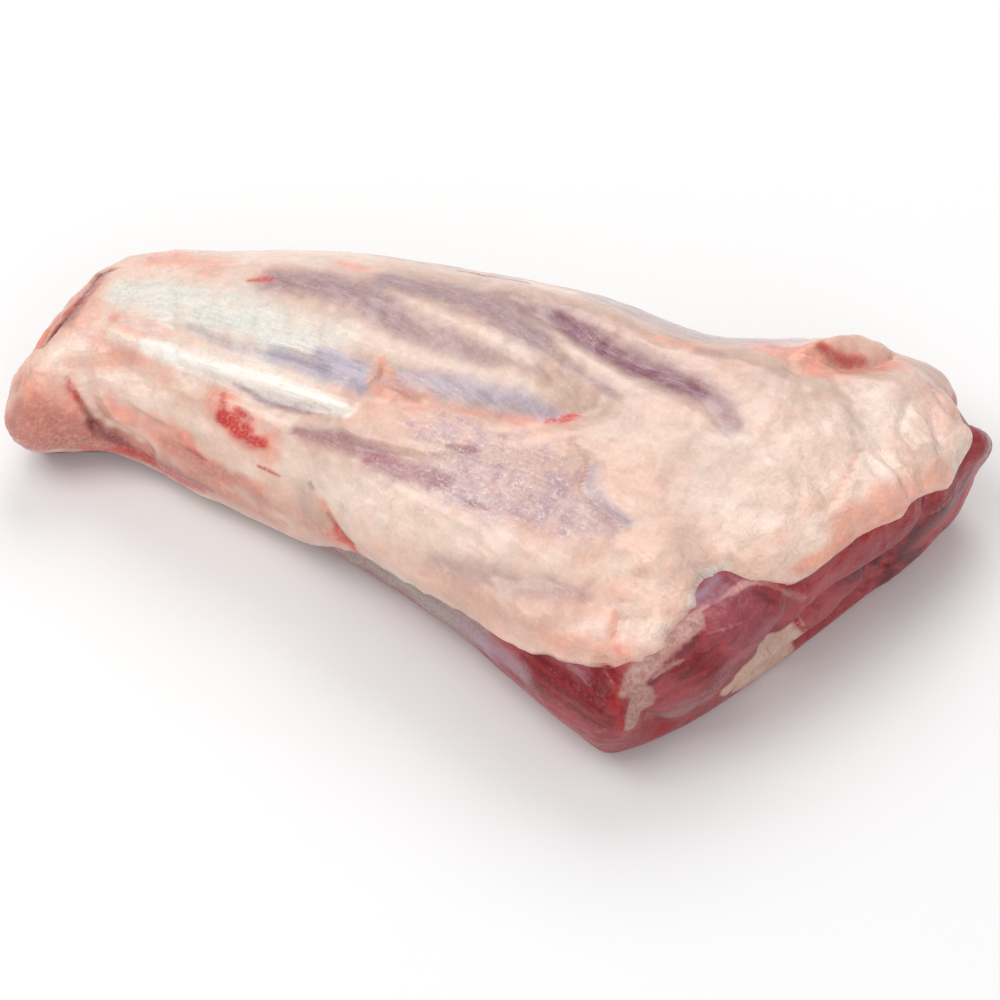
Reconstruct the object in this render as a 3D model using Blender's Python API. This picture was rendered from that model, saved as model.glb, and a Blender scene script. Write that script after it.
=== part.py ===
"""A raw lamb shank, lying on its flat side with the fat cover up.

The shank is one closed solid. Rings stand one behind the other along +X, from the blunt hock end to the wide cut end. Each ring is a
superellipse that is flat where it meets the table. Its near edge (-Y), far edge (+Y) and height come from a few stations. The hock end is
a low round cap. The cut end is a small round rim and a shallow dome.

A place on the surface is named by two numbers:
- along: 0 at the hock end's ring and 1 at the cut end's ring. Below 0 it runs over the hock cap to its middle at -1. Above 1 it runs
  over the rim and the cut face to its middle at 2.
- around: degrees round the ring, 0 at the near edge, 90 at the crest, 180 at the far edge and 270 underneath.

The fat cover lies over the upper side. It ends in a clear step along the near side and a little way onto the cut face. Muscle bellies,
tendons, seams and lumps are ridges and grooves that follow paths over the surface.

Sizes are in millimetres here and become metres in the mesh.
"""

import bpy
import numpy as np

MM = 0.001

# The form, from the hock end's ring to the cut end's ring.
SPAN = 163.0  # from ring to ring
NEAR_EDGE = ((0, -28), (0.1, -23), (0.25, -27.5), (0.4, -32.5), (0.55, -38.5), (0.7, -46), (0.85, -56), (1, -67))
FAR_EDGE = ((0, 23), (0.1, 24), (0.25, 29), (0.4, 31), (0.55, 32), (0.7, 30), (0.85, 38), (0.94, 36), (1, 27))
HEIGHT = ((0, 30), (0.1, 36), (0.25, 42), (0.4, 45), (0.55, 46), (0.7, 44), (0.85, 43), (1, 38))
SLANT = ((0, 0.25), (0.3, 0.32), (0.6, 0.58), (1, 0.62))  # how far a ring's far side runs ahead of its near side
TILT = ((0, 0.1), (0.5, 0), (0.8, -0.1), (1, 0.12))  # how far a ring's crest runs ahead of its waist
SQUARENESS = ((0, 2.1), (0.5, 2.2), (0.8, 2.3), (1, 2.4))  # superellipse exponent, 2 is an ellipse
WAIST = 0.42  # height of a ring's widest level, as a share of its height
SINK = 0.22  # how far a full ring would reach below the table, as a share of its height
FLOOR_BLEND = 3.0  # how gently the sides turn into the flat underside
HOCK_ROUND = 10.0  # how far the hock cap bulges
RIM_ROUND = 5.0  # radius between the sides and the cut face
CUT_BULGE = 5.2  # how far the cut face bulges
CENTRE = (92.0, -13.1)  # x and y of the middle of the whole shank, which becomes the origin

# The fat cover: where it ends, in degrees around at places along, and in places along at degrees around.
FAT_NEAR_END = ((0, -14), (0.25, -30), (0.42, -26), (0.52, -8), (0.7, 4), (0.81, 11), (0.88, 16), (0.97, 30), (1, 34))
FAT_FAR_END = ((0, 200), (0.5, 195), (1, 190))
FAT_CUT_END = ((30, 0.99), (48, 1.0), (72, 0.99), (80, 1.12), (98, 1.18), (111, 1.18), (128, 1.23), (146, 1.2), (156, 1.04), (190, 1.0))
FAT_THICK = ((-0.7, 0.2), (0, 2.0), (0.1, 2.4), (0.35, 2.4), (0.8, 2.7), (1.2, 2.7))

# Ridges and grooves: path of (along, around), half width, height. Below 0 it is a groove.
RELIEF = {
    "shin muscle belly": (((0.06, 86), (0.2, 81), (0.36, 76)), 7.5, 1.3),
    "upper muscle belly": (((0.22, 104), (0.42, 96), (0.6, 93)), 9.0, 1.6),
    "outer muscle belly": (((0.5, 120), (0.7, 122), (0.86, 112)), 6.0, 1.2),
    "long tendon": (((0.06, 71), (0.19, 57), (0.33, 55), (0.45, 58)), 3.0, 1.9),
    "groove over the tendon": (((0.14, 72), (0.24, 67), (0.38, 66)), 3.0, -1.1),
    "groove under the tendon": (((0.2, 48), (0.33, 46), (0.45, 48)), 3.0, -1.1),
    "heel muscle belly": (((0.52, 38), (0.64, 42), (0.76, 52)), 8.0, 1.6),
    "near muscle belly": (((0.58, 20), (0.72, 22), (0.88, 30)), 7.0, 1.4),
    "seam between the bellies": (((0.46, 62), (0.56, 69), (0.64, 75), (0.72, 91)), 3.6, -1.9),
    "seam beside the outer belly": (((0.55, 113), (0.69, 111), (0.77, 104), (0.86, 95)), 3.8, -1.5),
    "fold before the fat mass": (((0.79, 76), (0.82, 69), (0.88, 66)), 3.2, -1.2),
    "fold over the near belly": (((0.7, 28), (0.81, 34), (0.9, 46)), 3.4, -1.2),
    "crease at the near edge": (((0.46, 27), (0.5, 18), (0.56, 6)), 3.4, -1.7),
    "heel knob": (((-0.06, 34), (-0.03, 16)), 6.0, 3.6),
    "groove behind the knob": (((0.04, 46), (0.065, 28), (0.1, 8), (0.16, 0)), 3.2, -2.4),
    "cleft in the hock end": (((-0.1, 58), (-0.12, 76), (-0.06, 98)), 3.2, -2.4),
    "flap beyond the cleft": (((-0.3, 70), (-0.34, 88), (-0.28, 106)), 4.5, 1.5),
    "upper hock corner": (((-0.02, 118), (0.04, 128)), 6.0, 1.8),
    "fat mass": (((0.82, 96), (0.93, 92), (0.98, 84)), 10.0, 1.4),
    "upper fat lump": (((0.93, 132), (0.97, 140)), 5.0, 1.4),
    "outer fat lump": (((0.97, 146), (1.02, 148)), 4.0, 1.0),
    "groove between the fat lumps": (((0.9, 120), (0.96, 113), (1.02, 118)), 3.2, -1.3),
    "top lip": (((0.84, 128), (0.85, 138), (0.875, 149)), 3.0, 2.6),
    "hollow under the top lip": (((0.85, 119), (0.87, 127), (0.9, 137)), 3.2, -1.4),
    "dip before the near corner": (((0.9, 56), (0.95, 60), (0.99, 66)), 4.0, -1.4),
    "shin lobe on the cut face": (((1.3, 20), (1.22, 45), (1.3, 68)), 6.5, 2.4),
    "calf lobe on the cut face": (((1.45, 100), (1.38, 130), (1.4, 150)), 7.0, 1.8),
    "heel lobe on the cut face": (((1.3, 200), (1.45, 220), (1.4, 250)), 8.0, 1.6),
    "seam between shin and calf": (((1.16, 78), (1.4, 64), (1.75, 20), (1.55, 300), (1.25, 290)), 3.4, -2.4),
    "seam between calf and heel": (((1.27, 126), (1.61, 150), (1.8, 168), (1.76, 250), (1.5, 272)), 3.2, -2.0),
    "near corner lobe": (((0.93, 6), (0.98, 16), (1.02, 10)), 6.0, 1.6),
    "groove at the near corner": (((0.97, 30), (1.02, 22), (1.12, 4), (1.18, -14)), 3.4, -2.2),
    "lump at the far tip": (((1.04, 160), (1.04, 172)), 4.0, 1.0),
}
RELIEF_FROM = 2.0  # relief starts this high above the table
RELIEF_FULL = 9.0  # and is full from this height

# How finely the mesh is divided.
FAT_COLUMNS = 52
LEAN_COLUMNS = 30
CAP_ROWS = 9
SIDE_ROWS = 50
FACE_ROWS = 12
STEP_GAP = 0.7  # width of the step at the fat's edge
PATH_STEPS = 24  # points along each ridge and groove

MEAT_PINK = (0.72, 0.42, 0.37, 1)
MEAT_ROUGHNESS = 0.42


def curve(stations, at):
    """Smooth curve through (place, value) stations, cubic between neighbours, level beyond both ends."""
    place, value = np.array(stations, float).T
    slope = np.gradient(value, place)
    i = np.clip(np.searchsorted(place, at, side="right") - 1, 0, len(place) - 2)
    gap = place[i + 1] - place[i]
    t = np.clip((at - place[i]) / gap, 0, 1)
    first = (2 * t**3 - 3 * t**2 + 1) * value[i] + (t**3 - 2 * t**2 + t) * gap * slope[i]
    second = (3 * t**2 - 2 * t**3) * value[i + 1] + (t**3 - t**2) * gap * slope[i + 1]
    return first + second


def smooth_step(low, high, value):
    """0 below low, 1 above high, and an S-curve between."""
    t = np.clip((value - low) / (high - low), 0, 1)
    return t * t * (3 - 2 * t)


def superellipse(angle, exponent):
    """Across and up, from -1 to 1, of a superellipse's point at an angle in radians."""
    across, up = -np.cos(angle), np.sin(angle)
    power = 2 / exponent
    return np.sign(across) * np.abs(across) ** power, np.sign(up) * np.abs(up) ** power


def flat_on_table(z):
    """Height with everything below the table brought up to it, by a short parabola."""
    blended = (z + FLOOR_BLEND) ** 2 / (4 * FLOOR_BLEND)
    return np.where(z > FLOOR_BLEND, z, np.where(z < -FLOOR_BLEND, 0, blended))


def place(along, around):
    """Points of the bare form at places along and degrees around, in millimetres."""
    along, around = np.broadcast_arrays(np.asarray(along, float), np.asarray(around, float))
    station = np.clip(along, 0, 1)
    near, far, height = curve(NEAR_EDGE, station), curve(FAR_EDGE, station), curve(HEIGHT, station)
    half, waist = (far - near) / 2, WAIST * height
    scale = np.clip(1 - np.maximum(along - 1, 0) - np.maximum(-along, 0), 0, 1)
    inset = np.clip((1 - scale) * half / RIM_ROUND, 0, 1)
    on_rim = RIM_ROUND * np.sqrt(1 - (1 - inset) ** 2)
    on_face = CUT_BULGE * np.sqrt(np.clip(1 - (scale / (1 - RIM_ROUND / half)) ** 2, 0, 1))
    advance = np.where(along > 1, on_rim + on_face, np.where(along < 0, -HOCK_ROUND * np.sqrt(1 - scale**2), 0))
    across, up = superellipse(np.radians(around), curve(SQUARENESS, station))
    reach = np.where(up > 0, height - waist, waist + SINK * height)
    y = half * across * scale
    z = flat_on_table(waist + reach * up * scale)
    x = station * SPAN + advance + curve(SLANT, station) * y + curve(TILT, station) * (z - waist)
    return np.stack([x - CENTRE[0], (near + far) / 2 + y - CENTRE[1], z], -1)


def outward(points):
    """Unit normals of a grid of points, rows along the shank and columns closed round it."""
    down_rows = np.gradient(points, axis=0)
    round_ring = np.roll(points, -1, 1) - np.roll(points, 1, 1)
    normal = np.cross(down_rows, round_ring)
    normal[0], normal[-1] = (-1, 0, 0), (1, 0, 0)
    length = np.linalg.norm(normal, axis=-1, keepdims=True)
    return normal / np.maximum(length, 1e-9)


def distance_to_path(points, path):
    """Distance from each point to the smooth path through (along, around) places."""
    keys = np.array(path, float)
    at = np.linspace(0, len(keys) - 1, PATH_STEPS)
    number = np.arange(len(keys))
    trail = place(curve(np.c_[number, keys[:, 0]], at), curve(np.c_[number, keys[:, 1]], at))
    start, run = trail[:-1], np.diff(trail, axis=0)
    to_start = points[..., None, :] - start
    share = np.clip((to_start * run).sum(-1) / (run**2).sum(-1), 0, 1)
    return np.linalg.norm(to_start - share[..., None] * run, axis=-1).min(-1)


def relief(points):
    """Height of all ridges and grooves at these points, nothing near the table."""
    total = np.zeros(points.shape[:-1])
    for path, half_width, height in RELIEF.values():
        total += height * np.exp(-((distance_to_path(points, path) / half_width) ** 2))
    return total * smooth_step(RELIEF_FROM, RELIEF_FULL, points[..., 2])


def columns(along):
    """Degrees around of each column at these places along, and whether it carries fat.

    The first and last fat columns run along the fat's two edges, with a bare column close by each.
    """
    station = np.clip(along, 0, 1)
    start, end = curve(FAT_NEAR_END, station)[:, None], curve(FAT_FAR_END, station)[:, None]
    edge = np.degrees(STEP_GAP / 25)
    over = start + (end - start) * np.linspace(0, 1, FAT_COLUMNS)
    under = end + edge + (360 - 2 * edge + start - end) * np.linspace(0, 1, LEAN_COLUMNS)
    return np.concatenate([over, under], 1), np.r_[np.ones(FAT_COLUMNS), np.zeros(LEAN_COLUMNS)]


def rows():
    """Place along of each row, before the rows are drawn to the fat's end, and whether it carries fat."""
    cap = np.sin(np.linspace(0, np.pi / 2, CAP_ROWS + 1)[:-1]) - 1
    side = np.linspace(0, 1, SIDE_ROWS)
    face = 1 + np.linspace(0, 1, FACE_ROWS + 1)
    return np.concatenate([cap, side, face]), np.r_[np.ones(CAP_ROWS + SIDE_ROWS), np.zeros(FACE_ROWS + 1)]


def grid():
    """Places along and around of every point of the mesh, and the share of the fat's thickness there."""
    along, row_fat = rows()
    around, column_fat = columns(along)
    turned = np.where(around > 270, around - 360, around)
    end = curve(FAT_CUT_END, np.clip(turned, 30, 190))
    last = CAP_ROWS + SIDE_ROWS - 1
    spread = along[:, None] + np.zeros_like(around)
    drawn = smooth_step(0.82, 1, along[: last + 1])[:, None]
    spread[: last + 1] += drawn * (end[: last + 1] - 1)
    start = end[last + 1 :] + 0.03
    share = (along[last + 1 :] - 1)[:, None]
    spread[last + 1 :] = start + share * (2 - start)
    return spread, around, row_fat[:, None] * column_fat


def shank_points():
    """The grid of surface points: the bare form, the fat cover over it, and the relief."""
    along, around, fat = grid()
    bare = place(along, around)
    normal = outward(bare)
    lift = fat * curve(FAT_THICK, along) + relief(bare)
    points = bare + normal * lift[..., None]
    points[..., 2] = np.where(bare[..., 2] <= 0, 0, np.maximum(points[..., 2], 0))
    return points


def closed_mesh(name, points):
    """Mesh of a grid of rings whose first and last rings are each one point."""
    inner = points[1:-1]
    count_rows, count = inner.shape[:2]
    first, last = 0, 1 + count_rows * count
    ring = 1 + np.arange(count_rows * count).reshape(count_rows, count)
    after = np.roll(ring, -1, 1)
    quads = np.stack([ring[:-1], ring[1:], after[1:], after[:-1]], -1).reshape(-1, 4)
    hock = [(first, int(a), int(b)) for a, b in zip(ring[0], after[0])]
    cut = [(last, int(b), int(a)) for a, b in zip(ring[-1], after[-1])]
    vertices = np.concatenate([points[:1, 0], inner.reshape(-1, 3), points[-1:, 0]]) * MM
    mesh = bpy.data.meshes.new(name)
    mesh.from_pydata(vertices.tolist(), [], hock + quads.tolist() + cut)
    mesh.validate()
    mesh.shade_smooth()
    return mesh


def material(name, colour, roughness):
    """A Principled material."""
    made = bpy.data.materials.new(name)
    made.use_nodes = True
    shader = made.node_tree.nodes["Principled BSDF"]
    shader.inputs["Base Color"].default_value = colour
    shader.inputs["Roughness"].default_value = roughness
    return made


def clear_scene():
    """Removes every object of the scene."""
    for item in list(bpy.data.objects):
        bpy.data.objects.remove(item, do_unlink=True)


def build():
    """Makes the shank."""
    clear_scene()
    shank = bpy.data.objects.new("lamb_shank", closed_mesh("lamb_shank", shank_points()))
    shank.data.materials.append(material("raw meat and fat", MEAT_PINK, MEAT_ROUGHNESS))
    bpy.context.collection.objects.link(shank)


build()
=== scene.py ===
"""The looks of a raw lamb shank on a pale floor: its fat cover, lean meat, tendon and bits of membrane.

Every surface is worked out over the same form as the solid in the frame. Two numbers name a place on it:

- along: 0 at the hock end's ring and 1 at the cut end's ring; below 0 over the hock cap to its middle at -1,
  and above 1 over the rim and the cut face to its middle at 2;
- around: degrees round the ring, 0 at the near edge, 90 at the crest, 180 at the far edge, 270 underneath.

Shapes are in millimetres and become metres in the meshes.
"""

from __future__ import annotations

import logging
import math
from dataclasses import dataclass
from enum import Enum
from functools import partial

import bpy
import numpy as np
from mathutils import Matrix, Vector
from numpy.typing import NDArray


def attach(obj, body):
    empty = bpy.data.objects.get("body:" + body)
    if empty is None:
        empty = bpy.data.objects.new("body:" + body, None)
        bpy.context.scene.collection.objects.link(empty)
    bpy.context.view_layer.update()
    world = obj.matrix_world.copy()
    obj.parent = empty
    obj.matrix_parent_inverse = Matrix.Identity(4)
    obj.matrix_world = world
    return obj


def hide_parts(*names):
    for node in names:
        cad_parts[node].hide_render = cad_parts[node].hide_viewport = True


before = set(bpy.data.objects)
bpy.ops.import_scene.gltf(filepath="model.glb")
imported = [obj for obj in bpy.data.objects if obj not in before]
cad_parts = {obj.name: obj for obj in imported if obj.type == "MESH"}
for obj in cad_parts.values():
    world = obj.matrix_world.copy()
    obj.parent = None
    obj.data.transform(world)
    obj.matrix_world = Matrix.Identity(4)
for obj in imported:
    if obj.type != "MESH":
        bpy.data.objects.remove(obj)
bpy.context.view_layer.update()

Array = NDArray[np.float64]
Stations = tuple[tuple[float, float], ...]
Span = tuple[float, float]
Triple = tuple[float, float, float]
Colour = Triple
Screen = tuple[int, int, int]
Socket = bpy.types.NodeSocket

MM = 0.001
NODE = "lamb_shank"
UNDERSIDE = 270.0  # degrees around at which places near the near edge are counted below 0
QUARTER = np.pi / 2
TINY = 1e-6
log = logging.getLogger("lamb_shank")


# ---------------------------------------------------------------------------------------------- number tools


LATTICE_SHIFT = 512.37  # keeps the noise's lattice off the origin
LATTICE_PRIMES = np.array((73856093, 19349663, 83492791))
SEED_PRIME = 40503
MIXING_PRIME = 1274126177
LOW_16_BITS = 0xFFFF
LOW_32_BITS = 0xFFFFFFFF
OCTAVE_GAIN = 1.3


def curve(stations: Stations | Array, at: Array) -> Array:
    """Smooth curve through stations: a cubic between neighbours, level beyond both ends.

    Args:
        stations: (place, value) pairs in rising order of place.
        at: the places to read.

    Returns:
        The value at each place.
    """
    place, value = np.array(stations, float).T
    slope = np.gradient(value, place)
    i = np.clip(np.searchsorted(place, at, side="right") - 1, 0, len(place) - 2)
    gap = place[i + 1] - place[i]
    t = np.clip((at - place[i]) / gap, 0, 1)
    first = (2 * t**3 - 3 * t**2 + 1) * value[i] + (t**3 - 2 * t**2 + t) * gap * slope[i]
    second = (3 * t**2 - 2 * t**3) * value[i + 1] + (t**3 - t**2) * gap * slope[i + 1]
    return first + second


def smooth_step(low: float, high: float, value: Array) -> Array:
    """S-curve from 0 at low to 1 at high."""
    t = np.clip((value - low) / (high - low), 0, 1)
    return t * t * (3 - 2 * t)


def unit(vectors: Array) -> Array:
    """The vectors at length 1."""
    return vectors / np.maximum(np.linalg.norm(vectors, axis=-1, keepdims=True), TINY)


def wrapped(around: Array, top: float = UNDERSIDE) -> Array:
    """The same angles, with those above top counted from below: they lie a full turn lower."""
    return np.where(around > top, around - 360, around)


def noise(points: Array, size: float, seed: int = 0) -> Array:
    """Smooth noise in space: random values at the corners of a cubic lattice, blended by an S-curve.

    Args:
        points: places in millimetres, with the last axis x, y, z.
        size: the lattice's spacing in millimetres.
        seed: picks another pattern.

    Returns:
        Values from -1 to 1.
    """
    cell = points / size + LATTICE_SHIFT
    base = np.floor(cell).astype(np.int64)
    part = cell - base
    part = part * part * (3 - 2 * part)
    total = np.zeros(points.shape[:-1])
    for corner in np.ndindex(2, 2, 2):
        scattered = (base + np.array(corner)) * LATTICE_PRIMES
        mixed = np.bitwise_xor.reduce(scattered, axis=-1) ^ (seed + 7) * SEED_PRIME
        mixed = (mixed ^ (mixed >> 13)) * MIXING_PRIME & LOW_32_BITS
        value = ((mixed ^ (mixed >> 15)) & LOW_16_BITS) / (LOW_16_BITS / 2) - 1
        total += value * np.where(corner, part, 1 - part).prod(-1)
    return total


def rough_noise(points: Array, size: float, octaves: int = 3, seed: int = 0) -> Array:
    """Sum of smooth noise at sizes that halve, each half as strong, scaled to about -1 to 1.

    Args:
        points: places in millimetres.
        size: the largest size in millimetres.
        octaves: how many sizes.
        seed: picks another pattern.

    Returns:
        A value for each point.
    """
    weights = 0.5 ** np.arange(octaves)
    layers = [w * noise(points, size * w, seed + i) for i, w in enumerate(weights)]
    return np.sum(layers, axis=0) / weights.sum() * OCTAVE_GAIN


@dataclass(frozen=True)
class Rough:
    """Unevenness of one strength and size, in millimetres."""

    strength: float
    size: float
    octaves: int
    seed: int

    def at(self, points: Array, share: Array | float = 1.0) -> Array:
        """Its height at these points, where only a share of it shows."""
        return self.strength * share * rough_noise(points, self.size, self.octaves, self.seed)


# -------------------------------------------------------------------------------------------------- the form


@dataclass(frozen=True)
class ShankForm:
    """The form, in millimetres: superellipse rings along +X, a round hock cap and a round rim at the cut."""

    span: float = 163.0
    near_edge: Stations = (
        (0, -28), (0.1, -23), (0.25, -27.5), (0.4, -32.5), (0.55, -38.5), (0.7, -46), (0.85, -56), (1, -67),
    )  # fmt: skip
    far_edge: Stations = (
        (0, 23), (0.1, 24), (0.25, 29), (0.4, 31), (0.55, 32), (0.7, 30), (0.85, 38), (0.94, 36), (1, 27),
    )  # fmt: skip
    height: Stations = ((0, 30), (0.1, 36), (0.25, 42), (0.4, 45), (0.55, 46), (0.7, 44), (0.85, 43), (1, 38))
    slant: Stations = ((0, 0.25), (0.3, 0.32), (0.6, 0.58), (1, 0.62))
    tilt: Stations = ((0, 0.1), (0.5, 0), (0.8, -0.1), (1, 0.12))
    squareness: Stations = ((0, 2.1), (0.5, 2.2), (0.8, 2.3), (1, 2.4))
    waist: float = 0.42
    sink: float = 0.22
    floor_blend: float = 3.0
    hock_round: float = 10.0
    rim_round: float = 5.0
    cut_bulge: float = 5.2
    centre: Span = (92.0, -13.1)
    step: float = 0.002
    half_step: float = 0.5
    pole: float = 1e-4

    def place(self, along: Array, around: Array) -> Array:
        """Points of the bare form.

        The ring's point is a superellipse of the station's width and height, scaled down over the two ends
        and pushed out there by a quarter circle or a shallow dome. What would lie below the table is brought
        up to it by a short parabola.

        Args:
            along: places along the shank.
            around: degrees round it.

        Returns:
            x, y, z in millimetres.
        """
        along, around = np.broadcast_arrays(np.asarray(along, float), np.asarray(around, float))
        station = np.clip(along, 0, 1)
        near, far = curve(self.near_edge, station), curve(self.far_edge, station)
        height = curve(self.height, station)
        half, waist = (far - near) / 2, self.waist * height
        scale = np.clip(1 - np.maximum(along - 1, 0) - np.maximum(-along, 0), 0, 1)
        inset = np.clip((1 - scale) * half / self.rim_round, 0, 1)
        on_rim = self.rim_round * np.sqrt(1 - (1 - inset) ** 2)
        dome = np.clip(1 - (scale / (1 - self.rim_round / half)) ** 2, 0, 1)
        cut = on_rim + self.cut_bulge * np.sqrt(dome)
        cap = np.where(along < 0, -self.hock_round * np.sqrt(1 - scale**2), 0)
        advance = np.where(along > 1, cut, cap)
        turn = np.radians(around)
        power = 2 / curve(self.squareness, station)
        across = -np.sign(np.cos(turn)) * np.abs(np.cos(turn)) ** power
        up = np.sign(np.sin(turn)) * np.abs(np.sin(turn)) ** power
        y = half * across * scale
        z = waist + np.where(up > 0, height - waist, waist + self.sink * height) * up * scale
        blended = (z + self.floor_blend) ** 2 / (4 * self.floor_blend)
        z = np.where(z > self.floor_blend, z, np.where(z < -self.floor_blend, 0, blended))
        lean = curve(self.slant, station) * y + curve(self.tilt, station) * (z - waist)
        x = station * self.span + advance + lean
        return np.stack([x - self.centre[0], (near + far) / 2 + y - self.centre[1], z], -1)

    def spread(self, along: Array, around: Array) -> tuple[Array, Array]:
        """How the point moves per unit along and per degree around, by small differences.

        Args:
            along: places along the shank.
            around: degrees round it.

        Returns:
            The two directions, in millimetres.
        """
        h, turn = self.step, self.half_step
        by_along = (self.place(along + h, around) - self.place(along - h, around)) / (2 * h)
        by_around = self.place(along, around + turn) - self.place(along, around - turn)
        return by_along, by_around

    def normal(self, along: Array, around: Array) -> Array:
        """Unit vectors out of the form: the cross product of its directions, straight out at the poles.

        Args:
            along: places along the shank.
            around: degrees round it.

        Returns:
            A vector for each place.
        """
        out = np.cross(*self.spread(along, around))
        straight = np.zeros(out.shape)
        straight[..., 0] = np.sign(along)
        return np.where(np.linalg.norm(out, axis=-1, keepdims=True) > self.pole, unit(out), straight)


FORM = ShankForm()


# ----------------------------------------------------------------------------------------- marks on the form


@dataclass(frozen=True)
class Stroke:
    """A mark along a smooth path over the form: a ridge, a groove, a stripe or a stain."""

    path: Stations
    width: float
    strength: float = 1.0
    taper: float = 0.0
    steps: int = 28
    bump_reach: float = 2.6
    stain_reach: float = 2.4
    stain_fade: Span = (0.15, 1.85)
    blunt: float = 0.03
    fullness: float = 0.7

    def measure(self, points: Array, reach: float) -> tuple[Array, Array]:
        """Distance to the path in half widths, for the points within reach.

        Args:
            points: places on the bare form, one a row.
            reach: how many half widths are looked at.

        Returns:
            The indices of the points within reach, and their distance in half widths.
        """
        keys = np.array(self.path, float)
        at = np.linspace(0, len(keys) - 1, self.steps)
        number = np.arange(len(keys), dtype=float)
        trail = FORM.place(curve(np.c_[number, keys[:, 0]], at), curve(np.c_[number, keys[:, 1]], at))
        margin = reach * self.width
        low, high = trail.min(0) - margin, trail.max(0) + margin
        close = np.flatnonzero(((points > low) & (points < high)).all(-1))
        start, run = trail[:-1], np.diff(trail, axis=0)
        to_start = points[close][:, None] - start
        share = np.clip((to_start * run).sum(-1) / (run**2).sum(-1), 0, 1)
        gaps = np.linalg.norm(to_start - share[..., None] * run, axis=-1)
        nearest = gaps.argmin(-1)
        row = np.arange(len(close))
        t = np.clip((nearest + share[row, nearest]) / len(start), self.blunt, 1 - self.blunt)
        swell = np.sin(np.pi * t) ** self.fullness
        return close, gaps[row, nearest] / (self.width * (1 - self.taper + self.taper * swell))

    def bump(self, points: Array) -> Array:
        """Height of the mark as a ridge: its strength times a bell curve of the distance.

        Args:
            points: places on the bare form, one a row.

        Returns:
            Millimetres for each point.
        """
        height = np.zeros(len(points))
        close, gap = self.measure(points, self.bump_reach)
        height[close] = self.strength * np.exp(-(gap**2))
        return height

    def stain(self, points: Array, uneven: Array) -> Array:
        """Cover of the mark as a stain: full at the path, half at its half width and gone at twice that.

        Args:
            points: places on the bare form, one a row.
            uneven: what each point's distance is changed by.

        Returns:
            A share for each point.
        """
        cover = np.zeros(len(points))
        close, gap = self.measure(points, self.stain_reach)
        cover[close] = self.strength * (1 - smooth_step(*self.stain_fade, gap + uneven[close]))
        return cover


def ridges(points: Array, strokes: tuple[Stroke, ...]) -> Array:
    """Sum of the strokes' heights at these points."""
    return np.sum([s.bump(points) for s in strokes], axis=0)


def stains(points: Array, strokes: tuple[Stroke, ...], uneven: Array) -> Array:
    """Cover of the strokes laid over each other: one minus the product of what each leaves bare."""
    return 1 - np.prod([1 - s.stain(points, uneven) for s in strokes], axis=0)


MAIN_RELIEF: tuple[Stroke, ...] = (
    Stroke(((0.06, 86), (0.2, 81), (0.36, 76)), 7.5, 1.3),  # shin muscle belly
    Stroke(((0.22, 104), (0.42, 96), (0.6, 93)), 9.0, 1.6),  # upper muscle belly
    Stroke(((0.5, 120), (0.7, 122), (0.86, 112)), 6.0, 1.2),  # outer muscle belly
    Stroke(((0.52, 38), (0.64, 42), (0.76, 52)), 8.0, 1.6),  # heel muscle belly
    Stroke(((0.58, 20), (0.72, 22), (0.88, 30)), 7.0, 1.4),  # near muscle belly
    Stroke(((0.46, 62), (0.56, 69), (0.64, 75), (0.72, 91)), 3.6, -1.9),  # seam between the bellies
    Stroke(((0.55, 113), (0.69, 111), (0.77, 104), (0.86, 95)), 3.8, -1.5),  # seam beside the outer belly
    Stroke(((0.79, 76), (0.82, 69), (0.88, 66)), 3.2, -1.2),  # fold before the fat mass
    Stroke(((0.7, 28), (0.81, 34), (0.9, 46)), 3.4, -1.2),  # fold over the near belly
    Stroke(((0.46, 24), (0.5, 17), (0.56, 6)), 3.8, -0.9),  # crease at the near edge
    Stroke(((-0.06, 34), (-0.03, 16)), 6.0, 3.6),  # heel knob
    Stroke(((0.04, 46), (0.065, 28), (0.1, 8), (0.16, 0)), 2.6, -2.4),  # groove behind the knob
    Stroke(((-0.04, 54), (-0.04, 76), (-0.01, 100)), 5.0, 2.6),  # edge before the cleft
    # cleft in the hock end
    Stroke(((-0.13, 48), (-0.19, 62), (-0.22, 76), (-0.19, 92), (-0.11, 106)), 1.8, -2.0, 0.8),
    Stroke(((-0.4, 66), (-0.44, 86), (-0.38, 104)), 5.0, 1.8),  # flap beyond the cleft
    Stroke(((-0.02, 118), (0.04, 128)), 6.0, 1.8),  # upper hock corner
    Stroke(((0.82, 96), (0.93, 92), (0.98, 84)), 10.0, 1.4),  # fat mass
    Stroke(((0.93, 132), (0.97, 140)), 5.0, 1.4),  # upper fat lump
    Stroke(((0.97, 146), (1.02, 148)), 4.0, 1.0),  # outer fat lump
    Stroke(((0.9, 120), (0.96, 113), (1.02, 118)), 2.6, -1.3),  # groove between the fat lumps
    Stroke(((0.84, 128), (0.85, 138), (0.87, 149)), 2.8, 2.0),  # top lip
    Stroke(((0.85, 119), (0.87, 127), (0.9, 137)), 2.6, -1.4),  # hollow under the top lip
    Stroke(((0.9, 56), (0.95, 60), (0.99, 66)), 4.0, -1.4),  # dip before the near corner
    Stroke(((1.3, 20), (1.22, 45), (1.3, 68)), 6.5, 2.4),  # shin lobe on the cut face
    Stroke(((1.45, 100), (1.38, 130), (1.4, 150)), 7.0, 1.8),  # calf lobe on the cut face
    Stroke(((1.3, 200), (1.45, 220), (1.4, 250)), 8.0, 1.6),  # heel lobe on the cut face
    Stroke(((0.93, 6), (0.98, 16), (1.02, 10)), 6.0, 1.6),  # near corner lobe
    Stroke(((0.97, 30), (1.02, 22), (1.12, 4), (1.18, -14)), 2.6, -2.2),  # groove at the near corner
    Stroke(((1.05, 150), (1.04, 160), (1.03, 172)), 4.2, 2.0),  # lump at the far tip
)

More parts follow.
